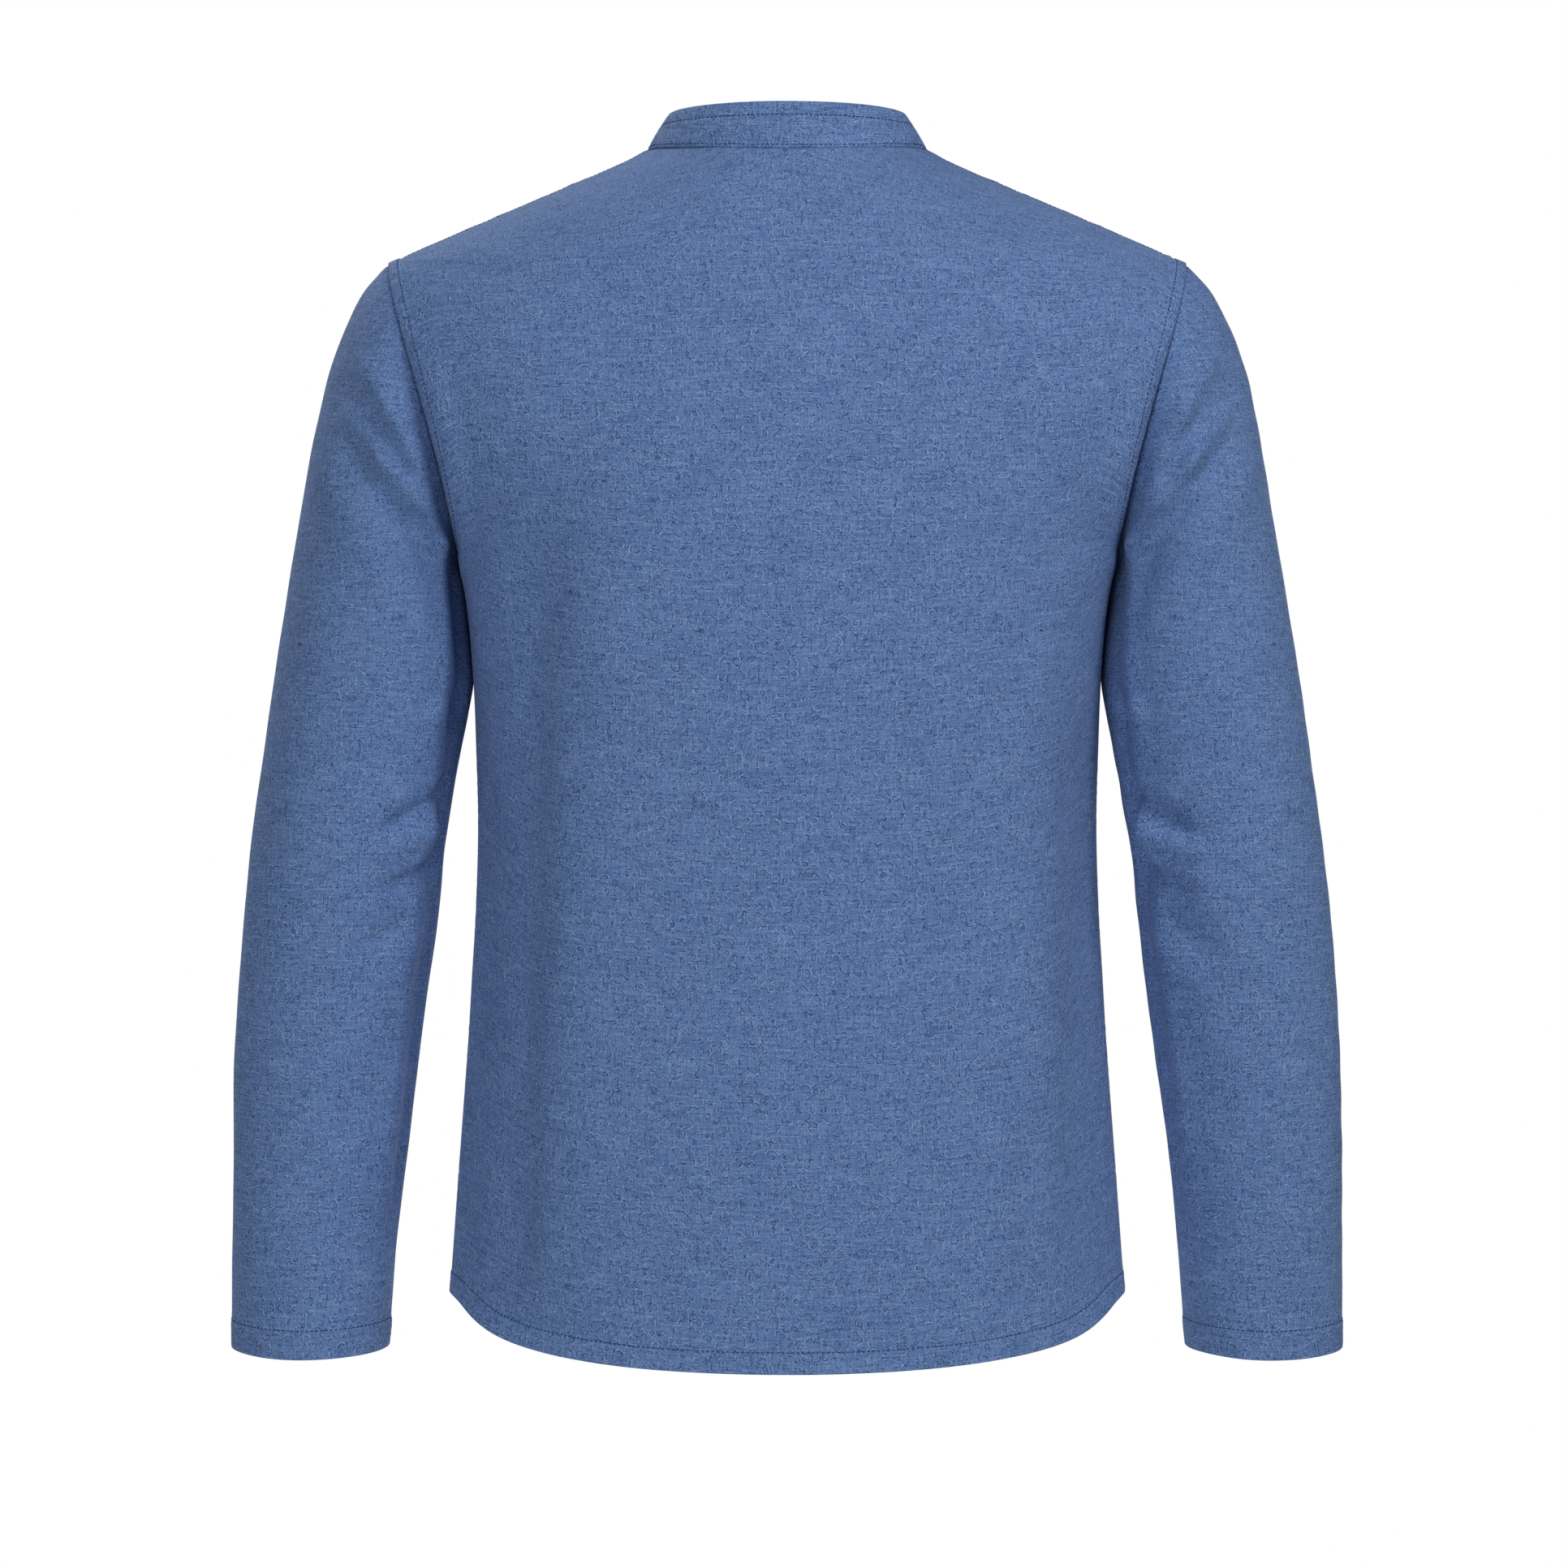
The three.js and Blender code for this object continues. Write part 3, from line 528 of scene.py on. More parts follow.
# Folds and creases of the panels: x and height of both ends, half width, and how far the cloth rises.
# The first ones are the large folds of the solids, the rest are the smaller ones over them.
panelFolds = {
    "back": [
        (144, -250, 156, -640, 25, -6), (108, -270, 122, -600, 23, 3),
        (-172, -290, -168, -620, 18, -2.8), (-40, -190, -46, -440, 24, -1.4),
        (158, -235, 120, -330, 12, -1.1), (-160, -232, -128, -310, 11, -0.8),
        (168, -400, 176, -560, 9, -0.8), (-122, -330, -132, -560, 16, 0.9),
        (60, -470, 74, -640, 22, -0.7), (-92, -520, -84, -660, 18, -0.6),
        (127, -290, 139, -640, 12, 1.5), (148, -300, 158, -640, 12, -1.8), (178, -372, 184, -640, 24, -4.6),
        (-143, -300, -148, -640, 12, 1.2), (-176, -372, -182, -640, 22, -5.0),
        (20, -120, 24, -330, 26, 0.5), (96, -110, 132, -205, 20, -0.7), (-98, -112, -136, -200, 18, -0.6),
    ],
    "front": [
        (138, -260, 152, -640, 26, -3.8), (-142, -250, -150, -630, 26, -4.2),
        (70, -380, 84, -660, 24, 2.2), (-78, -360, -70, -650, 24, 2.4),
        (156, -235, 116, -300, 13, -1.3), (-158, -235, -120, -296, 12, -1.2),
        (104, -120, 138, -200, 17, -0.9), (-106, -118, -140, -196, 16, -0.8),
        (40, -400, 34, -610, 16, -0.8), (-36, -380, -44, -600, 15, -0.7),
        (172, -380, 178, -560, 10, -0.8), (-174, -420, -178, -590, 9, -0.7),
    ],
}


# Distance of each point of a panel from its armhole and shoulder seams with its place along them, and
# how deep the armhole sinks there.
def panelSeams(cut, points):
    folded = points.copy()
    folded[..., 0] = np.abs(folded[..., 0])
    turns = np.linspace(math.pi, 0, 130)
    armhole = np.stack(armholeSeam(turns, cut["bow"]), axis=1)
    armhole[:, 1] = cut["side"] * (armhole[:, 1] + cloth["seamGap"])
    share = np.linspace(0, 1, 90)
    shoulder = np.stack([shoulderXAt(share), 0 * share, shoulderZAt(share)], axis=1)
    atArmhole, atShoulder = fromSeam(folded, armhole), fromSeam(folded, shoulder)
    return atArmhole, atShoulder, np.interp(atArmhole[1], rowArcs(armhole[None])[0], seamDepth(turns))


# How far a panel rises over its plain form: folds, soft waves, turned hem, welts and seams.
def panelRelief(key, points, up, across, sideGap, seams, seed):
    (armholeGap, armholePlace), (shoulderGap, shoulderPlace), sunk = seams
    x, z = points[..., 0], points[..., 2]
    edgeGap = across[:, -1:] - np.abs(across)
    ease = smooth(0, 0.16 * across[:, -1:], edgeGap)
    calm = smooth(0, 40, np.minimum(armholeGap, shoulderGap))
    (tall, wide), (low, narrow) = cloth["panelWaves"]
    relief = ease * foldLift(panelFolds[key], x, z)
    relief += ease * (0.55 + 0.45 * calm) * tall * softNoise(x, z, wide, seed)
    relief += ease * low * softNoise(x, z, narrow, seed + 1)
    relief += cloth["hemFlare"] * smooth(4, 60, edgeGap) * np.clip(1 - up / 15, 0, 1) ** 1.4
    relief = turnedHem(relief, up, cloth["hemTurn"])
    relief += stitchRelief(up, across, cloth["hemTurn"], 0.55, seed + 2)
    band, welt = 0, cloth["weltWidth"]
    welts = [(armholeGap, armholePlace, seed + 4), (shoulderGap, shoulderPlace, seed + 6)]
    for gap, place, number in welts[:1] if key == "front" else welts:
        plateau = smooth(0.2, 1.6, gap) * (1 - smooth(welt + 0.2, welt + 1.8, gap))
        band = np.maximum(band, cloth["weltRise"] * plateau)
        unlike = place + np.where(x > 0, 0, 333)  # the puckers differ from left to right
        relief += stitchRelief(gap, unlike, welt, -0.5, number) * (gap < 20)
    relief = relief + band + 0.3 * sunk * hump(armholeGap - 13, 8)
    # where the sleeve lies along the side seam, that seam stays nearly flat
    touched = smooth(-330, -312, z) * (1 - smooth(-264, -252, z))
    sideValley = seamValley(sideGap) * (1 - 0.8 * touched)
    relief += np.minimum.reduce([seamValley(armholeGap), seamValley(shoulderGap), sideValley])
    return relief + 0.12 * (1 - touched) * hump(sideGap - 3, 3) * ripple(up, 8, seed + 8)


# Cells of the front that the slash leaves open.
def slashGap(shape, footRow):
    gap = np.zeros(((shape[0] - 1) // 2, (shape[1] - 1) // 2), bool)
    half = int(placket["slashHalf"] / placket["half"] * cells["placket"]) // 2
    middle = gap.shape[1] // 2
    gap[footRow // 2:, middle - half:middle + half] = True
    return gap


def dressPanel(key, seed):
    cut, isFront = panelCut[key], key == "front"
    rises, footRow = panelRises(cut, isFront)
    points, across = panelGrid(cut, rises, cells["wide"][key], placket["half"] if isFront else 0)
    normals, up = outwardNormals(points), columnArcs(points)
    edgeGap = across[:, -1:] - np.abs(across)
    bySide, byShoulder = rises[:, None] <= 1, rises[:, None] >= 2
    sideGap = np.where(bySide, edgeGap, far)
    seams = atArmhole, atShoulder, sunk = panelSeams(cut, points)
    outer = points + normals * panelRelief(key, points, up, across, sideGap, seams, seed)[..., None]
    outer[..., 1] -= cut["side"] * sunk * np.clip(1 - atArmhole[0] / cloth["armpitReach"][0], 0, 1) ** 2
    closing = (1 - smooth(0, 2.5, edgeGap)) * (bySide | byShoulder) * (cloth["seamGap"] + cloth["seamOverlap"])
    outer[..., 1] -= cut["side"] * closing
    gap = slashGap(across.shape, footRow) if isFront else None
    panel = clothShell(key + "Panel", outer, normals, hemWall(up, cloth["hemTurn"]), across, up, gap=gap)
    stitchNormals = outwardNormals(outer)
    rows = [lineAt(outer, stitchNormals, up, cloth["hemTurn"], across, -far, far)]
    welted = [(atArmhole, 3, far), (atShoulder, 5, 160)]
    for side in (-1, 1):
        for (distance, place), low, high in welted[:1] if isFront else welted:
            own = np.where(points[..., 0] * side > 0, distance, far)
            rows.append(lineAt(outer, stitchNormals, own, cloth["weltWidth"], place, low, high))
    tellCut(key + " panel", across.max() * 2, up.max(), outer)
    return panel, rows


# Folds of the sleeve of the wearer's left: turn round it in degrees (0 outside, 90 back, 180 inside)
# and height of both ends, half width and lift in millimetres, and how much stronger on the right.
sleeveFolds = [
    (62, -120, 138, -214, 13, 2.6, 1), (48, -150, 128, -250, 12, -2.6, 1),
    (40, -190, 118, -280, 14, 2.0, 0.8), (-62, -120, -138, -214, 13, 2.4, 1),
    (-48, -155, -126, -255, 12, -2.4, 1), (152, -402, 112, -436, 12, 2.0, 1.5),
    (150, -428, 122, -458, 11, -2.6, 1.5), (204, -420, 246, -446, 13, -2.2, 1.2),
    # the two sharp pulls at the back of the armhole, in short lengths that bend, with a dent between them
    (60, -133, 83, -158, 5.4, 4.4, 0.9), (83, -158, 106, -185, 5.6, 6.8, 0.9),
    (106, -185, 120, -205, 6.2, 5.4, 1), (56, -161, 86, -187, 5.6, 3.6, 1.1),
    (86, -187, 112, -210, 5.8, 4.2, 1.1), (112, -210, 138, -230, 6.0, 3.6, 1.2),
    (76, -161, 104, -191, 5.0, -3.0, 1), (66, -184, 128, -240, 8, -2.4, 1),
    # the flat side against the body, with a blunt edge where it turns out to the back
    (160, -216, 160, -330, 9, -3.6, 1), (139, -236, 139, -330, 6.5, 2.4, 1),
    (161, -330, 164, -395, 9, -3.4, 1.2), (139, -330, 147, -392, 6.5, 1.8, 1.3),
    (164, -395, 166, -600, 10, -3.0, 1.3), (143, -395, 147, -600, 8, 1.6, 1.3),
    # narrow pulls at the front of the armhole, and the front edge of the flat side
    (-70, -110, -120, -188, 5, -1.3, 1), (-62, -120, -112, -198, 5, 1.2, 1),
    (-84, -176, -136, -236, 5, 1.5, 1), (-80, -184, -132, -246, 5, -1.5, 1),
    (-148, -240, -148, -330, 9, -0.8, 1), (-169, -271, -168, -312, 9, 1.2, 1),
    # creases of the elbow
    (156, -375, 122, -394, 5.5, -4.6, 1.4), (148, -399, 114, -409, 6, 3.2, 1.3),
    (158, -417, 124, -430, 5.5, -4.0, 1.5),
    (-150, -376, -118, -402, 8, -1.2, 1), (-150, -440, -112, -486, 10, -1.2, 1),
    (150, -438, 122, -450, 6, 1.6, 1.3), (158, -455, 118, -492, 9, 1.1, 1.4),
    (100, -300, 140, -380, 12, 0.8, 1.2),
    (150, -500, 120, -560, 12, -0.8, 1), (20, -420, 40, -600, 16, 0.7, 1), (-30, -300, -20, -520, 16, -0.8, 1),
    (96, -600, 104, -670, 10, -0.6, 1), (-90, -590, -100, -668, 11, -0.7, 1),
]


def sleevePoints(along, turn):
    outerZ = mix(shoulderZ, form["cuff"], along ** form["outerEase"])
    innerZ = mix(underarmZ, form["cuff"], along ** form["innerEase"])
    outerX, innerX = outerXAt(outerZ), innerXAt(innerZ)
    reach = (1 + np.cos(turn)) / 2
    seamShare = np.clip(1 - along / form["armholeReach"], 0, 1) ** 2
    bow = np.where(np.sin(turn) > 0, panelCut["back"]["bow"], panelCut["front"]["bow"])
    scoop = seamShare * np.sin(turn) ** 2 * (bow + form["bowTilt"] * np.cos(turn))
    x = mix(innerX, outerX, reach) + scoop
    y = swayAt(along) + sleeveHalfAt(along) * np.sin(turn)
    nearCuff = np.clip(1 - (1 - along) / form["cuffSagReach"], 0, 1) ** 2
    z = mix(innerZ, outerZ, reach) - nearCuff * form["cuffSag"] * np.sin(turn) ** 2
    return np.stack(np.broadcast_arrays(x, y, z), axis=-1)


def sleeveAlongs():
    fine = np.linspace(0, 1, 3001)
    line = sleevePoints(fine[:, None], np.array([[math.pi / 2]]))
    arc = rowArcs(line.transpose(1, 0, 2))[0]
    hem = hemRows(cells["cuffPitch"], cells["cuffRows"])
    top = cells["seamPitch"] * np.arange(cells["sleeveTop"] + 1)
    middle = np.linspace(top[-1], arc[-1] - hem[-1], cells["sleeveRows"] + 1)[1:-1]
    return np.interp(np.concatenate([top, middle, arc[-1] - hem[::-1]]), arc, fine)


# How far a sleeve rises over its plain form: folds, soft waves, seams and turned cuff.
def sleeveRelief(along, turn, z, down, cuffGap, seamGap, isRight, seed):
    radius = form["sleeveRadius"]
    folds = [
        (math.radians(a) * radius, b, math.radians(c) * radius, d, width, lift * (right if isRight else 1))
        for a, b, c, d, width, lift, right in sleeveFolds
    ]
    ease = np.clip(along / 0.13, 0, 1)
    relief = 0
    for shift in (-2 * math.pi, 0, 2 * math.pi):
        relief = relief + ease * foldLift(folds, (turn + shift) * radius, z)
    fromInside = (np.abs(turn) - math.pi) * radius
    againstBody = hump(fromInside, 24) * smooth(-243, -256, z) * (1 - smooth(-304, -322, z))
    free = ease * (1 - 0.9 * hump(fromInside, 30) * (1 - smooth(-330, -370, z)))
    relief += 1.1 * againstBody
    # the underarm keeps off the side seam just below it
    relief -= 0.5 * smooth(140, 168, np.degrees(np.abs(turn))) * hump(down - 3, 4)
    # the waves are read round a ring, so that they join up at the seam
    ringX, ringY = np.cos(turn) * radius, np.sin(turn) * radius
    (tall, wide), (low, narrow) = cloth["sleeveWaves"]
    relief += free * tall * softNoise(ringX + 0.6 * z, ringY - 0.5 * z, wide, seed)
    relief += free * low * softNoise(ringX + z, ringY - 0.8 * z, narrow, seed + 1)
    relief = relief + seamValley(down) - 0.35 * hump(seamGap, 1.2) * smooth(0, 8, down) * (1 - againstBody)
    relief += 0.22 * hump(down - 5, 4) * ripple(turn * form["armholeRadius"], 9, seed + 2)
    relief = turnedHem(relief, cuffGap, cloth["cuffTurn"])
    return relief + stitchRelief(cuffGap, turn * form["cuffRadius"], cloth["cuffTurn"], -0.4, seed + 3)


def dressSleeve(name, isRight, seed):
    along = sleeveAlongs()[:, None]
    turn = np.linspace(-math.pi, math.pi, cells["sleeveRound"] + 1)[None, :-1]
    points = sleevePoints(along, turn)
    middle = points.mean(axis=1, keepdims=True)
    normals = gridNormals(points, middle, closed=True)
    down = columnArcs(points)
    cuffGap = down[-1:] - down
    steps = np.linalg.norm(np.roll(points, -1, axis=1) - points, axis=2)
    girth = steps.sum(axis=1, keepdims=True)
    around = np.concatenate([np.zeros((len(points), 1)), np.cumsum(steps, axis=1)[:, :-1]], axis=1)
    across = around - around[:, cells["sleeveRound"] // 2][:, None]
    seamGap = np.minimum(around, girth - around)
    z = points[..., 2]
    relief = sleeveRelief(along, turn, z, down, cuffGap, seamGap, isRight, seed)
    outer = points + normals * relief[..., None]
    sunk = seamDepth(turn) * np.clip(1 - down / cloth["armpitReach"][1], 0, 1) ** 2
    outer[..., 1] -= np.sign(np.sin(turn)) * sunk
    outer = outer - armholeOut * (cloth["sleeveTuck"] * (1 - smooth(0, 3, down)))[..., None]
    if isRight:
        outer, normals, middle = outer * mirrorX, normals * mirrorX, middle * mirrorX
    sleeve = clothShell(name, outer, normals, hemWall(cuffGap, cloth["cuffTurn"]), across, cuffGap, closed=True)
    stitchNormals = gridNormals(outer, middle, closed=True)
    place = turn * form["cuffRadius"] + 0 * z
    rows = [lineAt(outer, stitchNormals, cuffGap, cloth["cuffTurn"], place, -far, far)]
    tellCut(name, girth.max(), down.max(), np.concatenate([outer, outer[:, :1]], axis=1))
    return sleeve, rows


# The band collar. It stands a little proud of the neck seam and is sewn down over it.
collar = {
    "topHalf": 69.2, "topBack": 50, "topFront": 66, "backHeight": 21.6, "frontHeight": -26, "fall": 1.6,
    "proud": 1.1, "overlap": 0.7, "endGap": 1.2, "neckHalf": 81, "corner": 11, "thickness": 2.4,
    "baseStitch": 1.9, "topStitch": 9.2, "columns": 300, "rows": 26,
    "edgeRows": (0, 0.012, 0.035, 0.065),  # shares of the height
    "creaseRadius": 76, "creaseHeight": 28,
    "creases": [
        # angle from the centre back in degrees and share of the height at both ends, half width, lift
        (50, 0.42, 78, 0.5, 1.6, -0.55), (30, 0.36, 52, 0.44, 1.4, 0.35), (-62, 0.7, -40, 0.55, 1.8, -0.3),
        (104, 0.5, 128, 0.6, 2.0, -0.4), (-98, 0.45, -126, 0.55, 2.0, -0.4),
    ],
}


# A row of a panel at the given shares of its half width.
def panelLine(cut, rise, share, inward=1):
    rows = panelRows(cut, [rise])
    return panelPoints(cut, rows, rows["fullAngle"] * share * inward)[0]


def unit(vectors):
    return vectors / np.linalg.norm(vectors, axis=1, keepdims=True)


# The neckline: 0 at centre back, pi at centre front, with its way up and its way out of the cloth.
def necklineAt(turn):
    away = np.abs(turn)
    behind = away <= math.pi / 2
    across = np.where(behind, away, math.pi - away) / (math.pi / 2)
    share = np.maximum(across, 1e-4)[None]
    result = []
    for cut in panelCut.values():
        top = panelLine(cut, 3, share)
        wayUp = unit(top - panelLine(cut, 2.98, share))
        wayOut = unit(np.cross((panelLine(cut, 3, share, 0.98) - top) * cut["side"], wayUp))
        result.append((top, wayUp, wayOut))
    sign = np.stack([np.where(turn < 0, -1, 1), np.ones_like(turn), np.ones_like(turn)], axis=1)
    return tuple(np.where(behind[:, None], a, b) * sign for a, b in zip(*result))


# The band as a grid from the neck seam to its top edge, cut round at both ends in front.
def collarGrid(turn, endTurn):
    base, wayUp, wayOut = necklineAt(turn)
    start = base - wayUp * collar["overlap"] + wayOut * collar["proud"]
    forward, back = np.clip(-np.cos(turn), 0, 1), np.clip(np.cos(turn), 0, 1)
    top = np.stack([
        collar["topHalf"] * np.sin(turn),
        back * collar["topBack"] - forward * collar["topFront"],
        mix(collar["backHeight"], collar["frontHeight"], forward ** collar["fall"]),
    ], axis=1)
    height = np.linalg.norm(top - start, axis=1)
    intoCorner = np.clip(1 - (endTurn - np.abs(turn)) / (collar["corner"] / collar["topHalf"]), 0, 1)
    lost = collar["corner"] * (1 - np.sqrt(1 - intoCorner ** 2)) / height
    edge = np.array(collar["edgeRows"])
    between = np.linspace(edge[-1], 1 - edge[-1], collar["rows"] - 5)[1:-1]
    rise = np.concatenate([edge, between, 1 - edge[::-1]])
    return mix(start[None], top[None], (rise[:, None] * (1 - lost))[..., None])


def dressCollar(seed):
    endTurn = math.pi - collar["endGap"] / 2 / collar["neckHalf"]
    # closer-set columns near both ends, for the rounded corners
    share = np.linspace(-1, 1, collar["columns"] + 1)
    turn = endTurn * np.sign(share) * (1 - (1 - np.abs(share)) ** 1.25)
    points = collarGrid(turn, endTurn)
    normals, up = outwardNormals(points), columnArcs(points)
    topGap = up[-1:] - up
    across = rowArcs(points)
    across = across - across[:, len(turn) // 2][:, None]
    endGap = across[:, -1:] - np.abs(across)
    around, tall = collar["creaseRadius"], collar["creaseHeight"]
    creases = [
        (math.radians(a) * around, b * tall, math.radians(c) * around, d * tall, width, lift)
        for a, b, c, d, width, lift in collar["creases"]
    ]
    relief = 0.5 * np.sin(math.pi * up / up[-1:]) + 0.2 * softNoise(across, up, 42, seed)
    relief += foldLift(creases, turn * around + 0 * up, tall * up / up[-1:])
    relief += stitchRelief(up, across, collar["baseStitch"], 0.3, seed + 1) * 0.8
    relief += stitchRelief(topGap, across, collar["topStitch"], 0.5, seed + 2) * 0.8
    relief += roundOver(np.minimum.reduce([up, topGap, endGap]), collar["thickness"] / 2)
    outer = points + normals * relief[..., None]
    band = clothShell("bandCollar", outer, normals, collar["thickness"], across, up)
    stitchNormals = outwardNormals(outer)
    limit = across[0].max() - 2.5
    stitched = ((up, collar["baseStitch"]), (topGap, collar["topStitch"]))
    rows = [lineAt(outer, stitchNormals, field, level, across, -limit, limit) for field, level in stitched]
    tellCut("band collar", across[0].max() * 2, up.max(), outer)
    return band, rows


# The placket: an upper strip over the slash, a lower one behind it, in millimetres.
placket = {
    "half": 14, "slashHalf": 4, "foot": -355.4, "slashFoot": -320.9, "upperFace": 1.9, "lowerFace": -1.9,
    "thickness": 1.5, "edgeStitch": 2.2, "boxStitch": 26, "columns": 28, "setBack": 1.2,
    "rows": (119, 62, 32),  # up to the underarm, the shoulder seam and the neck
}


def dressPlacket(name, faceHeight, seed):
    cut = panelCut["front"]
    low, middle, high = placket["rows"]
    starts = np.linspace(riseAt(placket["foot"], cut), 1, low)
    rises = np.concatenate([starts, 1 + np.linspace(0, 1, middle)[1:], 2 + np.linspace(0, 1, high)[1:]])
    rows = panelRows(cut, rises)
    x = np.linspace(-placket["half"], placket["half"], placket["columns"] + 1)[None]
    angle = np.arcsin(np.clip(np.abs(x) / rows["wholeHalf"], 0, 1) ** (1 / rows["power"]))
    points = panelPoints(cut, rows, angle)
    points[..., 0] = x
    normals, up = outwardNormals(points), columnArcs(points)
    kept = np.count_nonzero((up[-1:] - up)[:, placket["columns"] // 2] > placket["setBack"])
    kept -= (kept + 1) % 2  # an odd count of rows, for an even one of cells
    points, normals, up = points[:kept], normals[:kept], up[:kept]
    across = x + 0 * up
    sideGap = placket["half"] - np.abs(across)
    edge, box = placket["edgeStitch"], placket["boxStitch"]
    relief = foldLift(panelFolds["front"], points[..., 0], points[..., 2]) + faceHeight
    relief += 0.12 * softNoise(x, up, 40, seed)
    relief += stitchRelief(sideGap, up + 200 * (x > 0), edge, 0.4, seed) * 0.8
    relief = relief - 0.3 * hump(up - edge, 0.8) - 0.3 * hump(up - box, 0.8)
    relief += roundOver(np.minimum(sideGap, up), placket["thickness"] / 2)
    outer = points + normals * relief[..., None]
    strip = clothShell(name, outer, normals, placket["thickness"], across, up)
    stitchNormals = outwardNormals(outer)
    sewn = [(np.where(x * side > 0, sideGap, far), edge, up, edge, far) for side in (-1, 1)]
    sewn += [(up, level, across, edge - placket["half"], placket["half"] - edge) for level in (edge, box)]
    tellCut(name, 2 * placket["half"], up.max(), outer)
    return strip, [lineAt(outer, stitchNormals, *line) for line in sewn], (outer, stitchNormals)


# Four-hole shirt buttons, and the thread that holds them, in millimetres.
button = {
    "radius": 5.6, "thick": 2.4, "rim": 1.3, "dish": 0.75, "holeRadius": 0.72, "holeOffset": 1.35,
    "first": 26, "pitch": 74, "count": 4, "standOff": 0.3, "sides": 64, "softEdge": 0.1,
    "thread": 0.26, "hole": 13.5, "holeHalf": 1.05, "holeInner": 0.25, "holePitch": 0.55, "holeLift": 0.12,
    "strand": 0.16,  # half the distance of two strands side by side
    "strandLine": [
        # place as a share of the way between two holes, height over the dished face
        (-1, -0.9), (-0.8, 0.06), (0, 0.16), (0.8, 0.06), (1, -0.9),
    ],
}


def buttonDisc():
    r, t, rim, dish = button["radius"], button["thick"], button["rim"], button["dish"]
    profile = [(0, 0), (r - 1.4, 0), (r - 0.5, 0.18), (r - 0.1, 0.7), (r, 1.1)]
    profile += [(r - 0.06, t - 0.62), (r - 0.3, t - 0.22), (r - 0.75, t), (r - rim, t - 0.12)]
    profile += [(r - rim - 0.5, t - 0.5), (r - rim - 1.1, t - dish), (0, t - dish - 0.05)]
    build = bmesh.new()
    spun = [build.verts.new((x * mm, 0, z * mm)) for x, z in profile]
    edges = [build.edges.new(pair) for pair in zip(spun, spun[1:])]
    full = {"axis": (0, 0, 1), "cent": (0, 0, 0), "angle": 2 * math.pi, "steps": button["sides"]}
    bmesh.ops.spin(build, geom=spun + edges, **full)
    bmesh.ops.remove_doubles(build, verts=build.verts, dist=1e-6)
    bmesh.ops.recalc_face_normals(build, faces=build.faces)
    return placeObject("disc", builtMesh("disc", build))


def buttonDrill():
    drill = bmesh.new()
    radius = button["holeRadius"] * mm
    for k in range(4):
        angle = math.pi * (2 * k + 1) / 4
        size = {"radius1": radius, "radius2": radius, "depth": 8 * mm}
        bit = bmesh.ops.create_cone(drill, cap_ends=True, segments=20, **size)
        shift = Vector((math.cos(angle), math.sin(angle), 0)) * button["holeOffset"] * mm
        bmesh.ops.translate(drill, verts=bit["verts"], vec=shift)
    return placeObject("drill", builtMesh("drill", drill))


def buttonMesh():
    blank, drill = buttonDisc(), buttonDrill()
    cut = blank.modifiers.new("holes", "BOOLEAN")
    cut.operation, cut.object, cut.solver = "DIFFERENCE", drill, "EXACT"
    soften = blank.modifiers.new("edges", "BEVEL")
    soften.width, soften.segments = button["softEdge"] * mm, 2
    soften.limit_method, soften.angle_limit = "ANGLE", math.radians(50)
    mesh = finishedMesh(blank)
    for made in (blank, drill):
        bpy.data.objects.remove(made)
    return mesh


# Two strands across each pair of holes.
def buttonStrands(place, side, upward, facing):
    strands = []
    top = button["thick"] - button["dish"] + button["standOff"] + 0.1
    offset = button["holeOffset"] * math.sqrt(0.5)
    for sign in (-1, 1):
        for spread in (-button["strand"], button["strand"]):
            strands.append(np.array([
                place + side * (sign * offset + spread) + upward * offset * a + facing * (top + b)
                for a, b in button["strandLine"]
            ]))
    return strands


# Zigzag stitching up one side of a buttonhole and down the other.
def holeStitching(height, side, facing, spotAt):
    steps = 2 * int(button["hole"] / button["holePitch"])
    line = []
    for way in (-1, 1):
        for k in range(steps + 1):
            z = height - way * button["hole"] * (k / steps - 0.5)
            reach = way * (button["holeInner"] if k % 2 else button["holeHalf"])
            line.append(spotAt(z) + np.array(side) * reach + np.array(facing) * button["holeLift"])
    return np.array(line)


# Sews the buttons down the middle of the upper strip, each over its upright buttonhole.
def makeButtons(face, normals):
    plain = buttonMesh()
    column = face.shape[1] // 2
    middle, out = face[:, column], normals[:, column]

    def readAt(z, line=middle):
        return np.array([np.interp(z, middle[:, 2], line[:, k]) for k in range(3)])

    joined = bmesh.new()
    threads, holes = [], []
    for number in range(button["count"]):
        height = panelCut["front"]["neck"] - button["first"] - number * button["pitch"]
        place, facing = Vector(readAt(height)), Vector(readAt(height, out)).normalized()
        side = Vector((1, 0, 0))
        upward = facing.cross(side).normalized()
        start = len(joined.verts)
        joined.from_mesh(plain)
        joined.verts.ensure_lookup_table()
        for vert in joined.verts[start:]:
            x, y, z = vert.co / mm
            vert.co = (place + side * x + upward * y + facing * (z + button["standOff"])) * mm
        threads += buttonStrands(place, side, upward, facing)
        holes.append(holeStitching(height, side, facing, readAt))
    mesh = builtMesh("buttons", joined)
    mesh.polygons.foreach_set("use_smooth", np.ones(len(mesh.polygons), bool))
    return placeObject("buttons", mesh), threads, holes


def addNode(tree, kind, settings=None, values=None, links=None):
    node = tree.nodes.new(kind)
    for name, value in (settings or {}).items():
        setattr(node, name, value)
    for key, value in (values or {}).items():
        node.inputs[key].default_value = value
    for key, socket in (links or {}).items():
        tree.links.new(socket, node.inputs[key])
    return node


# Linear colour of an sRGB hex value.
def hexColour(code, alpha=1):
    parts = [int(code[k:k + 2], 16) / 255 for k in (1, 3, 5)]
    return tuple(p / 12.92 if p <= 0.04045 else ((p + 0.055) / 1.055) ** 2.4 for p in parts) + (alpha,)


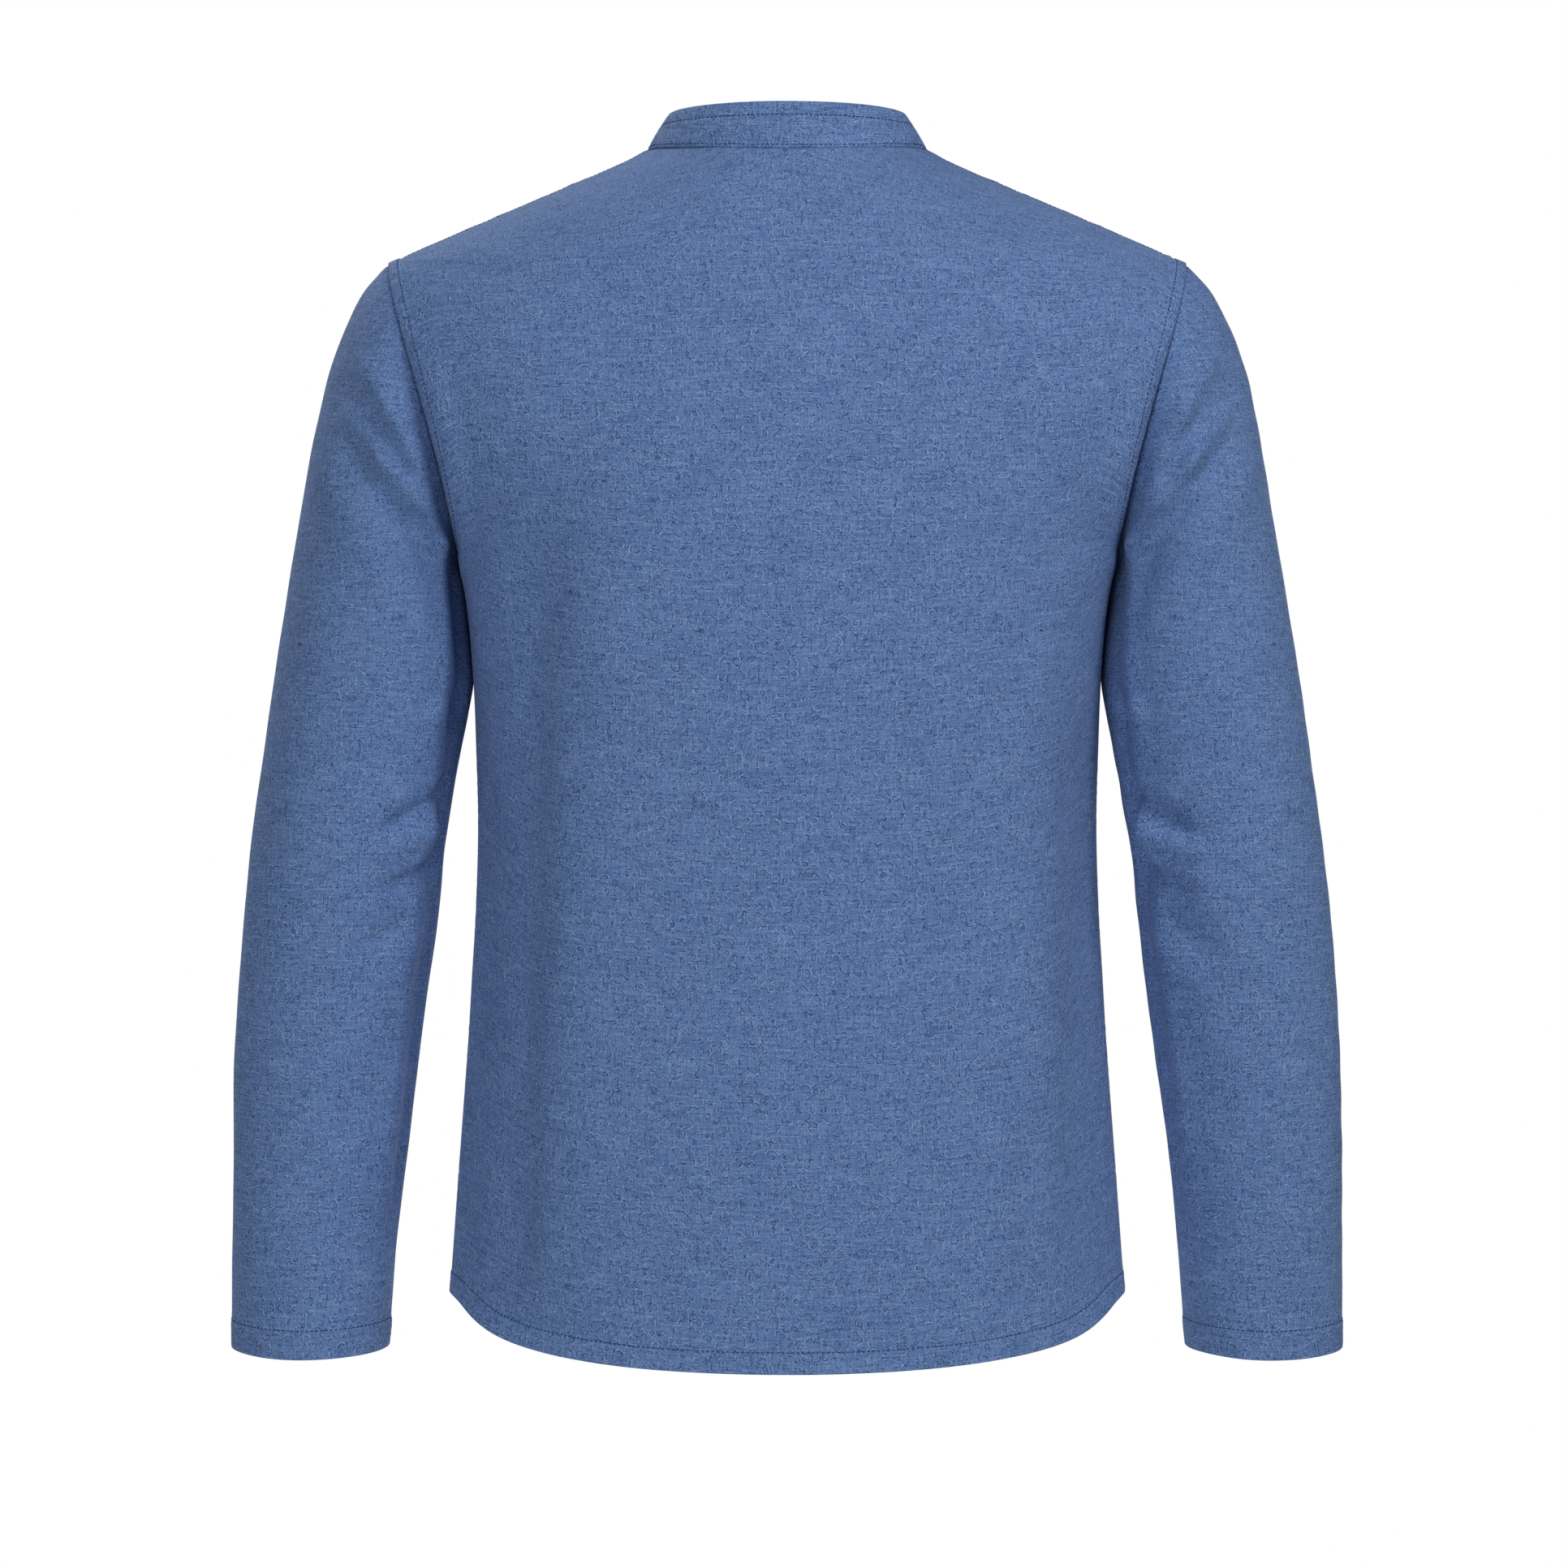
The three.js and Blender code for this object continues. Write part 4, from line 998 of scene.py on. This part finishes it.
# Sewing thread, in millimetres: stitches along the seams, and the radius of thread laid round a buttonhole.
sewing = {"spacing": 2.8, "length": 2.0, "width": 0.7, "unevenness": 0.08, "seed": 4, "laid": 0.2}


def newGroup(name, inputs):
    tree = bpy.data.node_groups.new(name, "GeometryNodeTree")
    tree.interface.new_socket("Geometry", in_out="INPUT", socket_type="NodeSocketGeometry")
    tree.interface.new_socket("Geometry", in_out="OUTPUT", socket_type="NodeSocketGeometry")
    for title, value in inputs.items():
        socket = tree.interface.new_socket(title, in_out="INPUT", socket_type="NodeSocket" + value[0])
        if len(value) > 1:
            socket.default_value = value[1]
    return tree, addNode(tree, "NodeGroupInput").outputs


# Ends a tree with real, smooth-shaded faces and their material.
def endGroup(tree, given, shape):
    real = addNode(tree, "GeometryNodeRealizeInstances", links={"Geometry": shape})
    soft = addNode(tree, "GeometryNodeSetShadeSmooth", links={"Geometry": real.outputs["Geometry"]})
    painted = addNode(tree, "GeometryNodeSetMaterial", links={
        "Geometry": soft.outputs["Geometry"], "Material": given["Thread"]})
    addNode(tree, "NodeGroupOutput", links={"Geometry": painted.outputs["Geometry"]})
    return tree


# A row of short stitches along every line of the mesh it is given.
def stitchTree():
    tree, given = newGroup("rowsOfStitches", {
        "Stitch spacing": ("Float", sewing["spacing"] * mm), "Stitch length": ("Float", sewing["length"] * mm),
        "Thread width": ("Float", sewing["width"] * mm), "Unevenness": ("Float", sewing["unevenness"]),
        "Seed": ("Int", sewing["seed"]), "Thread": ("Material",),
    })
    lines = addNode(tree, "GeometryNodeMeshToCurve", links={"Mesh": given["Geometry"]})
    spaced = addNode(tree, "GeometryNodeResampleCurve", {"mode": "LENGTH"}, links={
        "Curve": lines.outputs["Curve"], "Length": given["Stitch spacing"]})
    bead = addNode(tree, "GeometryNodeMeshUVSphere", values={"Segments": 6, "Rings": 4, "Radius": 0.5})
    size = addNode(tree, "ShaderNodeCombineXYZ", links={
        "X": given["Thread width"], "Y": given["Thread width"], "Z": given["Stitch length"]})
    tangent = addNode(tree, "GeometryNodeInputTangent")
    aim = addNode(tree, "FunctionNodeAlignRotationToVector", {"axis": "Z"}, links={
        "Vector": tangent.outputs["Tangent"]})
    least = addNode(tree, "ShaderNodeMath", {"operation": "MULTIPLY"}, {1: -1.0}, {0: given["Unevenness"]})
    low = addNode(tree, "ShaderNodeCombineXYZ", links={key: least.outputs[0] for key in "XYZ"})
    high = addNode(tree, "ShaderNodeCombineXYZ", links={key: given["Unevenness"] for key in "XYZ"})
    wobble = addNode(tree, "FunctionNodeRandomValue", {"data_type": "FLOAT_VECTOR"}, links={
        "Min": low.outputs[0], "Max": high.outputs[0], "Seed": given["Seed"]})
    tilt = addNode(tree, "FunctionNodeEulerToRotation", links={"Euler": wobble.outputs["Value"]})
    turned = addNode(tree, "FunctionNodeRotateRotation", {"rotation_space": "LOCAL"}, links={
        "Rotation": aim.outputs["Rotation"], "Rotate By": tilt.outputs["Rotation"]})
    placed = addNode(tree, "GeometryNodeInstanceOnPoints", links={
        "Points": spaced.outputs["Curve"], "Instance": bead.outputs["Mesh"],
        "Rotation": turned.outputs["Rotation"], "Scale": size.outputs["Vector"]})
    return endGroup(tree, given, placed.outputs["Instances"])


# Thread laid along every line of the mesh it is given.
def threadTree():
    tree, given = newGroup("laidThread", {
        "Thread radius": ("Float", sewing["laid"] * mm), "Thread": ("Material",)})
    lines = addNode(tree, "GeometryNodeMeshToCurve", links={"Mesh": given["Geometry"]})
    section = addNode(tree, "GeometryNodeCurvePrimitiveCircle", values={"Resolution": 6}, links={
        "Radius": given["Thread radius"]})
    tube = addNode(tree, "GeometryNodeCurveToMesh", values={"Fill Caps": True}, links={
        "Curve": lines.outputs["Curve"], "Profile Curve": section.outputs["Curve"]})
    return endGroup(tree, given, tube.outputs["Mesh"])


# Runs a node tree over a set of lines and keeps the plain mesh that comes out.
def sewLines(name, lines, tree, values):
    counts = [len(line) for line in lines]
    starts = np.concatenate([[0], np.cumsum(counts)[:-1]])
    edges = [(first + k, first + k + 1) for first, count in zip(starts, counts) for k in range(count - 1)]
    guide = bpy.data.meshes.new(name + "Guide")
    guide.from_pydata((np.concatenate(lines) * mm).tolist(), edges, [])
    carrier = placeObject(name + "Guide", guide)
    modifier = carrier.modifiers.new(name, "NODES")
    modifier.node_group = tree
    for item in tree.interface.items_tree:
        if item.in_out == "INPUT" and item.name in values:
            modifier[item.identifier] = values[item.name]
    carrier.data.update()
    mesh = finishedMesh(carrier)
    mesh.name = name
    bpy.data.objects.remove(carrier)
    return placeObject(name, mesh)


# Colours of the woven cloth, the sewing thread and the buttons, as sRGB.
finish = {
    "clothDark": "#39517f", "clothBase": "#6180b5", "clothLight": "#8fabd9", "nep": "#2d4069",
    "thread": "#35497a", "threadDark": "#22305a", "resin": "#36548c", "resinPale": "#4f6fa8",
}

# The weave, in millimetres over the cloth. Its threads are 0.3 apart and too fine to show, so grain
# and streaks are drawn about three times coarser.
weave = {
    "streaks": [
        # width and height of the marks, detail, weight in the tone, weight in the relief
        (1.1, 1.1, 2.0, 0.36, 0.4),     # mixed grain of dyed and pale threads
        (15, 0.75, 1.5, 0.42, 0.7),     # weft threads
        (0.75, 13, 1.5, 0.38, 0.6),     # warp threads
        (36, 1.5, 1.0, 0.22, 0.0),      # long slubs across
        (46, 22, 2.0, 0.1, 0.0),        # washed patches
    ],
    "curls": [
        # spacing, radius and half width of the curls as shares of it, share left out, tone, relief, seed
        # the darker rings share a seed with a pale one and sit just inside it: painted shade beside each raised
        # curl, also sunk a little in the relief
        (4.6, 0.40, 0.085, 0.5, 0.34, 1.0, 1), (4.6, 0.27, 0.08, 0.5, -0.36, -0.5, 1),
        (5.4, 0.44, 0.07, 0.5, -0.32, -0.5, 2), (5.4, 0.56, 0.07, 0.5, 0.32, 1.0, 2),
        (6.2, 0.34, 0.06, 0.48, 0.3, 1.1, 3),
    ],
    "nepSpacing": 8, "nepSize": 0.66, "middleTone": 0.5, "reliefStrength": 0.75, "reliefHeight": 0.25,
}


def newMaterial(name):
    material = bpy.data.materials.new(name)
    material.use_nodes = True
    material.node_tree.nodes.clear()
    return material, material.node_tree


# Streaks of uneven yarn both ways, and their shares in the tone and the relief. Each starts elsewhere.
def streakMarks(tree, here):
    marks = []
    for number, (width, length, detail, shade, rise) in enumerate(weave["streaks"]):
        stretched = addNode(tree, "ShaderNodeMapping", values={
            "Scale": (1 / width, 1 / length, 1), "Location": (7.3 * number, 3.1 * number, 0)}, links={
                "Vector": here})
        noise = addNode(tree, "ShaderNodeTexNoise", {"noise_dimensions": "2D"}, {
            "Scale": 1.0, "Detail": detail, "Roughness": 0.55}, {"Vector": stretched.outputs[0]})
        level = addNode(tree, "ShaderNodeMath", {"operation": "SUBTRACT"}, {1: 0.5}, {0: noise.outputs["Fac"]})
        marks.append((level, shade, rise))
    return marks


# Curled threads, and painted shade beside them: parts of rings round random points, bent a little and broken up
# by a soft noise.
def curlMarks(tree, here):
    marks = []
    bend = addNode(tree, "ShaderNodeTexNoise", {"noise_dimensions": "2D"}, {"Scale": 0.4, "Detail": 1.0}, {
        "Vector": here})
    bent = addNode(tree, "ShaderNodeVectorMath", {"operation": "MULTIPLY_ADD"}, {1: (1.5, 1.5, 0)}, {
        0: bend.outputs["Color"], 2: here})
    for spacing, radius, halfLine, leftOut, shade, rise, seed in weave["curls"]:
        moved = addNode(tree, "ShaderNodeMapping", values={"Location": (41.7 * seed, 23.9 * seed, 0)}, links={
            "Vector": bent.outputs[0]})
        rings = addNode(tree, "ShaderNodeTexVoronoi", {"voronoi_dimensions": "2D"}, {"Scale": 1 / spacing}, {
            "Vector": moved.outputs[0]})
        away = addNode(tree, "ShaderNodeMath", {"operation": "SUBTRACT"}, {1: radius}, {
            0: rings.outputs["Distance"]})
        off = addNode(tree, "ShaderNodeMath", {"operation": "ABSOLUTE"}, links={0: away.outputs[0]})
        line = addNode(tree, "ShaderNodeMapRange", {"interpolation_type": "SMOOTHSTEP"}, {
            "From Min": 0.0, "From Max": halfLine, "To Min": 1.0, "To Max": 0.0}, {"Value": off.outputs[0]})
        coarse = addNode(tree, "ShaderNodeTexNoise", {"noise_dimensions": "2D"}, {
            "Scale": 1.3 / spacing, "Detail": 0.5}, {"Vector": moved.outputs[0]})
        bits = addNode(tree, "ShaderNodeMapRange", {"interpolation_type": "SMOOTHSTEP"}, {
            "From Min": leftOut - 0.06, "From Max": leftOut + 0.06}, {"Value": coarse.outputs["Fac"]})
        curl = addNode(tree, "ShaderNodeMath", {"operation": "MULTIPLY"}, links={
            0: line.outputs["Result"], 1: bits.outputs["Result"]})
        marks.append((curl, shade, rise))
    return marks


# Cotton chambray, plain woven from dyed warp and pale weft and washed: matt, heathered blue with
# short pale curled threads, each with painted shade in a ring beside it, fine streaks both ways and small dark
# neps.
def washedChambray():
    material, tree = newMaterial("washedChambray")
    place = addNode(tree, "ShaderNodeUVMap", {"uv_map": "cloth"})
    scaled = addNode(tree, "ShaderNodeVectorMath", {"operation": "SCALE"}, {"Scale": 1 / mm}, {
        0: place.outputs["UV"]})
    here = scaled.outputs[0]  # millimetres over the cloth
    totals = []
    for start in (weave["middleTone"], 0.0):  # of the tone and of the relief
        totals.append(addNode(tree, "ShaderNodeValue"))
        totals[-1].outputs[0].default_value = start
    # each mark adds its share to the tone and to the relief
    for mark, *shares in streakMarks(tree, here) + curlMarks(tree, here):
        totals = [
            addNode(tree, "ShaderNodeMath", {"operation": "MULTIPLY_ADD"}, {1: share}, {
                0: mark.outputs[0], 2: total.outputs[0]})
            for share, total in zip(shares, totals)
        ]
    tone, height = totals
    ramp = addNode(tree, "ShaderNodeValToRGB", links={"Fac": tone.outputs[0]})
    stops = ramp.color_ramp.elements
    stops[0].position, stops[0].color = 0.12, hexColour(finish["clothDark"])
    stops[1].position, stops[1].color = 0.9, hexColour(finish["clothLight"])
    stops.new(0.5).color = hexColour(finish["clothBase"])
    spots = addNode(tree, "ShaderNodeTexVoronoi", {"voronoi_dimensions": "2D"}, {
        "Scale": 1 / weave["nepSpacing"]}, {"Vector": here})
    size = weave["nepSize"] / weave["nepSpacing"]
    nep = addNode(tree, "ShaderNodeMapRange", {"interpolation_type": "SMOOTHSTEP"}, {
        "From Min": 0.4 * size, "From Max": size, "To Min": 0.85, "To Max": 0.0}, {
            "Value": spots.outputs["Distance"]})
    flecked = addNode(tree, "ShaderNodeMix", {"data_type": "RGBA"}, {7: hexColour(finish["nep"])}, {
        0: nep.outputs["Result"], 6: ramp.outputs["Color"]})
    bump = addNode(tree, "ShaderNodeBump", values={
        "Strength": weave["reliefStrength"], "Distance": weave["reliefHeight"] * mm}, links={
            "Height": height.outputs[0]})
    shader = addNode(tree, "ShaderNodeBsdfPrincipled", values={
        "Roughness": 0.92, "IOR": 1.46, "Specular IOR Level": 0.2, "Sheen Weight": 0.06, "Sheen Roughness": 0.5,
    }, links={"Base Color": flecked.outputs[2], "Normal": bump.outputs["Normal"]})
    addNode(tree, "ShaderNodeOutputMaterial", links={"Surface": shader.outputs["BSDF"]})
    return material


# Spun cotton sewing thread: matt and a shade deeper than the cloth, with the twist of its strands,
# three to a millimetre.
def cottonThread():
    material, tree = newMaterial("cottonThread")
    place = addNode(tree, "ShaderNodeTexCoord")
    strand = addNode(tree, "ShaderNodeTexNoise", values={"Scale": 3 / mm, "Detail": 1.0}, links={
        "Vector": place.outputs["Object"]})
    ramp = addNode(tree, "ShaderNodeValToRGB", links={"Fac": strand.outputs["Fac"]})
    stops = ramp.color_ramp.elements
    stops[0].position, stops[0].color = 0.25, hexColour(finish["threadDark"])
    stops[1].position, stops[1].color = 0.7, hexColour(finish["thread"])
    bump = addNode(tree, "ShaderNodeBump", values={"Strength": 0.4, "Distance": 0.05 * mm}, links={
        "Height": strand.outputs["Fac"]})
    shader = addNode(tree, "ShaderNodeBsdfPrincipled", values={
        "Roughness": 0.8, "IOR": 1.5, "Specular IOR Level": 0.25,
    }, links={"Base Color": ramp.outputs["Color"], "Normal": bump.outputs["Normal"]})
    addNode(tree, "ShaderNodeOutputMaterial", links={"Surface": shader.outputs["BSDF"]})
    return material


# Moulded polyester resin, dyed through and tumble polished: a soft gloss with faint clouds in it,
# about 4 mm wide.
def dyedResin():
    material, tree = newMaterial("dyedResin")
    place = addNode(tree, "ShaderNodeTexCoord")
    cloud = addNode(tree, "ShaderNodeTexNoise", values={
        "Scale": 0.26 / mm, "Detail": 3.0, "Distortion": 1.5}, links={"Vector": place.outputs["Object"]})
    ramp = addNode(tree, "ShaderNodeValToRGB", links={"Fac": cloud.outputs["Fac"]})
    stops = ramp.color_ramp.elements
    stops[0].position, stops[0].color = 0.35, hexColour(finish["resin"])
    stops[1].position, stops[1].color = 0.75, hexColour(finish["resinPale"])
    polish = addNode(tree, "ShaderNodeMapRange", values={"To Min": 0.24, "To Max": 0.36}, links={
        "Value": cloud.outputs["Fac"]})
    bump = addNode(tree, "ShaderNodeBump", values={"Strength": 0.06, "Distance": 0.1 * mm}, links={
        "Height": cloud.outputs["Fac"]})
    shader = addNode(tree, "ShaderNodeBsdfPrincipled", values={"IOR": 1.54}, links={
        "Base Color": ramp.outputs["Color"], "Roughness": polish.outputs["Result"],
        "Normal": bump.outputs["Normal"]})
    addNode(tree, "ShaderNodeOutputMaterial", links={"Surface": shader.outputs["BSDF"]})
    return material


# Camera and light, in metres and watts.
studio = {
    "eye": (0.0019, 2.3, -0.371), "lens": 90, "sensor": 36,
    "aim": (0, 0, -0.35),
    "lamps": [
        # name, place, width, power
        ("keyBack", (-1.435, 1.594, 1.45), 1.2, 35.5), ("fillBack", (0.948, 2.606, 0.04), 1.2, 25),
        ("rightBack", (-2.513, 1.172, 0.04), 1.2, 3.6), ("keyFront", (1.435, -1.594, 1.45), 1.2, 36),
        ("fillFront", (-0.948, -2.606, 0.04), 1.2, 25), ("top", (0, 0, 2.3), 1.6, 6.5),
    ],
    "ambient": 0.05, "ambientTint": "#f4f6ff", "backdrop": "#ffffff",
    "floor": "#eeeeec", "floorHeight": -1.42, "floorRadius": 2.4,
}


def setCamera():
    camera = bpy.data.cameras.new("camera")
    camera.lens, camera.sensor_width = studio["lens"], studio["sensor"]
    camera.clip_start, camera.clip_end = 0.05, 50
    view = placeObject("camera", camera)
    view.location = studio["eye"]
    view.rotation_euler = (math.pi / 2, 0, math.pi)
    bpy.context.scene.camera = view


def setLights():
    for name, place, width, power in studio["lamps"]:
        lamp = bpy.data.lights.new(name, "AREA")
        lamp.shape, lamp.size, lamp.energy = "SQUARE", width, power
        held = placeObject(name, lamp)
        held.location = place
        held.rotation_euler = (Vector(studio["aim"]) - Vector(place)).to_track_quat("-Z", "Y").to_euler()
    world = bpy.data.worlds.new("studio")
    bpy.context.scene.world = world
    world.use_nodes = True
    tree = world.node_tree
    tree.nodes.clear()
    seen, felt = (
        addNode(tree, "ShaderNodeBackground", values={"Color": hexColour(code), "Strength": strength})
        for code, strength in ((studio["backdrop"], 1.0), (studio["ambientTint"], studio["ambient"]))
    )
    path = addNode(tree, "ShaderNodeLightPath")
    both = addNode(tree, "ShaderNodeMixShader", links={
        0: path.outputs["Is Camera Ray"], 1: felt.outputs[0], 2: seen.outputs[0]})
    addNode(tree, "ShaderNodeOutputWorld", links={"Surface": both.outputs[0]})
    bpy.context.scene.view_settings.view_transform = "Standard"
    bpy.context.scene.view_settings.look = "None"


def layFloor():
    build = bmesh.new()
    bmesh.ops.create_circle(build, cap_ends=True, segments=96, radius=studio["floorRadius"])
    bmesh.ops.translate(build, verts=build.verts, vec=(0, 0, studio["floorHeight"]))
    floor = placeObject("floor", builtMesh("floor", build))
    paint, tree = newMaterial("mattPaint")
    shader = addNode(tree, "ShaderNodeBsdfPrincipled", values={
        "Base Color": hexColour(studio["floor"]), "Roughness": 0.9})
    addNode(tree, "ShaderNodeOutputMaterial", links={"Surface": shader.outputs["BSDF"]})
    floor.data.materials.append(paint)


setCamera()
setLights()
layFloor()
print("camera, lights and floor are set")

chambray, thread, resin = washedChambray(), cottonThread(), dyedResin()
back, backSeams = dressPanel("back", 11)
front, frontSeams = dressPanel("front", 37)
leftSleeve, leftSeams = dressSleeve("leftSleeve", False, 61)
rightSleeve, rightSeams = dressSleeve("rightSleeve", True, 83)
band, bandSeams = dressCollar(5)
upperStrip, upperSeams, upperFace = dressPlacket("placketOver", placket["upperFace"], 21)
lowerStrip = dressPlacket("placketUnder", placket["lowerFace"], 23)[0]
buttons, buttonStrandLines, buttonholes = makeButtons(*upperFace)
print("cloth and buttons are made")

lines = backSeams + frontSeams + leftSeams + rightSeams + bandSeams + upperSeams
stitches = sewLines("stitches", lines, stitchTree(), {"Thread": thread})
tack = threadTree()
buttonThread = sewLines("buttonThread", buttonStrandLines, tack, {
    "Thread radius": button["thread"] * mm, "Thread": thread})
buttonholeThread = sewLines("buttonholeThread", buttonholes, tack, {"Thread": thread})
print("sewing is done:", len(stitches.data.polygons), "faces of stitches")

dressed = [
    # piece, CAD node it stands for, flat width and length, and flat area, in metres
    (back, "back", (0.54, 0.74), 0.345),
    (front, "front", (0.55, 0.72), 0.33),
    (leftSleeve, "sleeve_left", (0.49, 0.65), 0.192),
    (rightSleeve, "sleeve_right", (0.49, 0.65), 0.192),
    (band, "collar", (0.48, 0.03), 0.0135),
    (upperStrip, "placket_over", (0.028, 0.315), None),
    (lowerStrip, "placket_under", (0.028, 0.315), None),
]
for piece, node, flat, area in dressed:
    piece.data.materials.clear()
    piece.data.materials.append(chambray)
    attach(piece, "root")
    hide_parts(node)
buttons.data.materials.clear()
buttons.data.materials.append(resin)
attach(buttons, "root")
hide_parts("button_1", "button_2", "button_3", "button_4")
for piece in (stitches, buttonThread, buttonholeThread):
    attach(piece, "root")

bpy.context.view_layer.update()
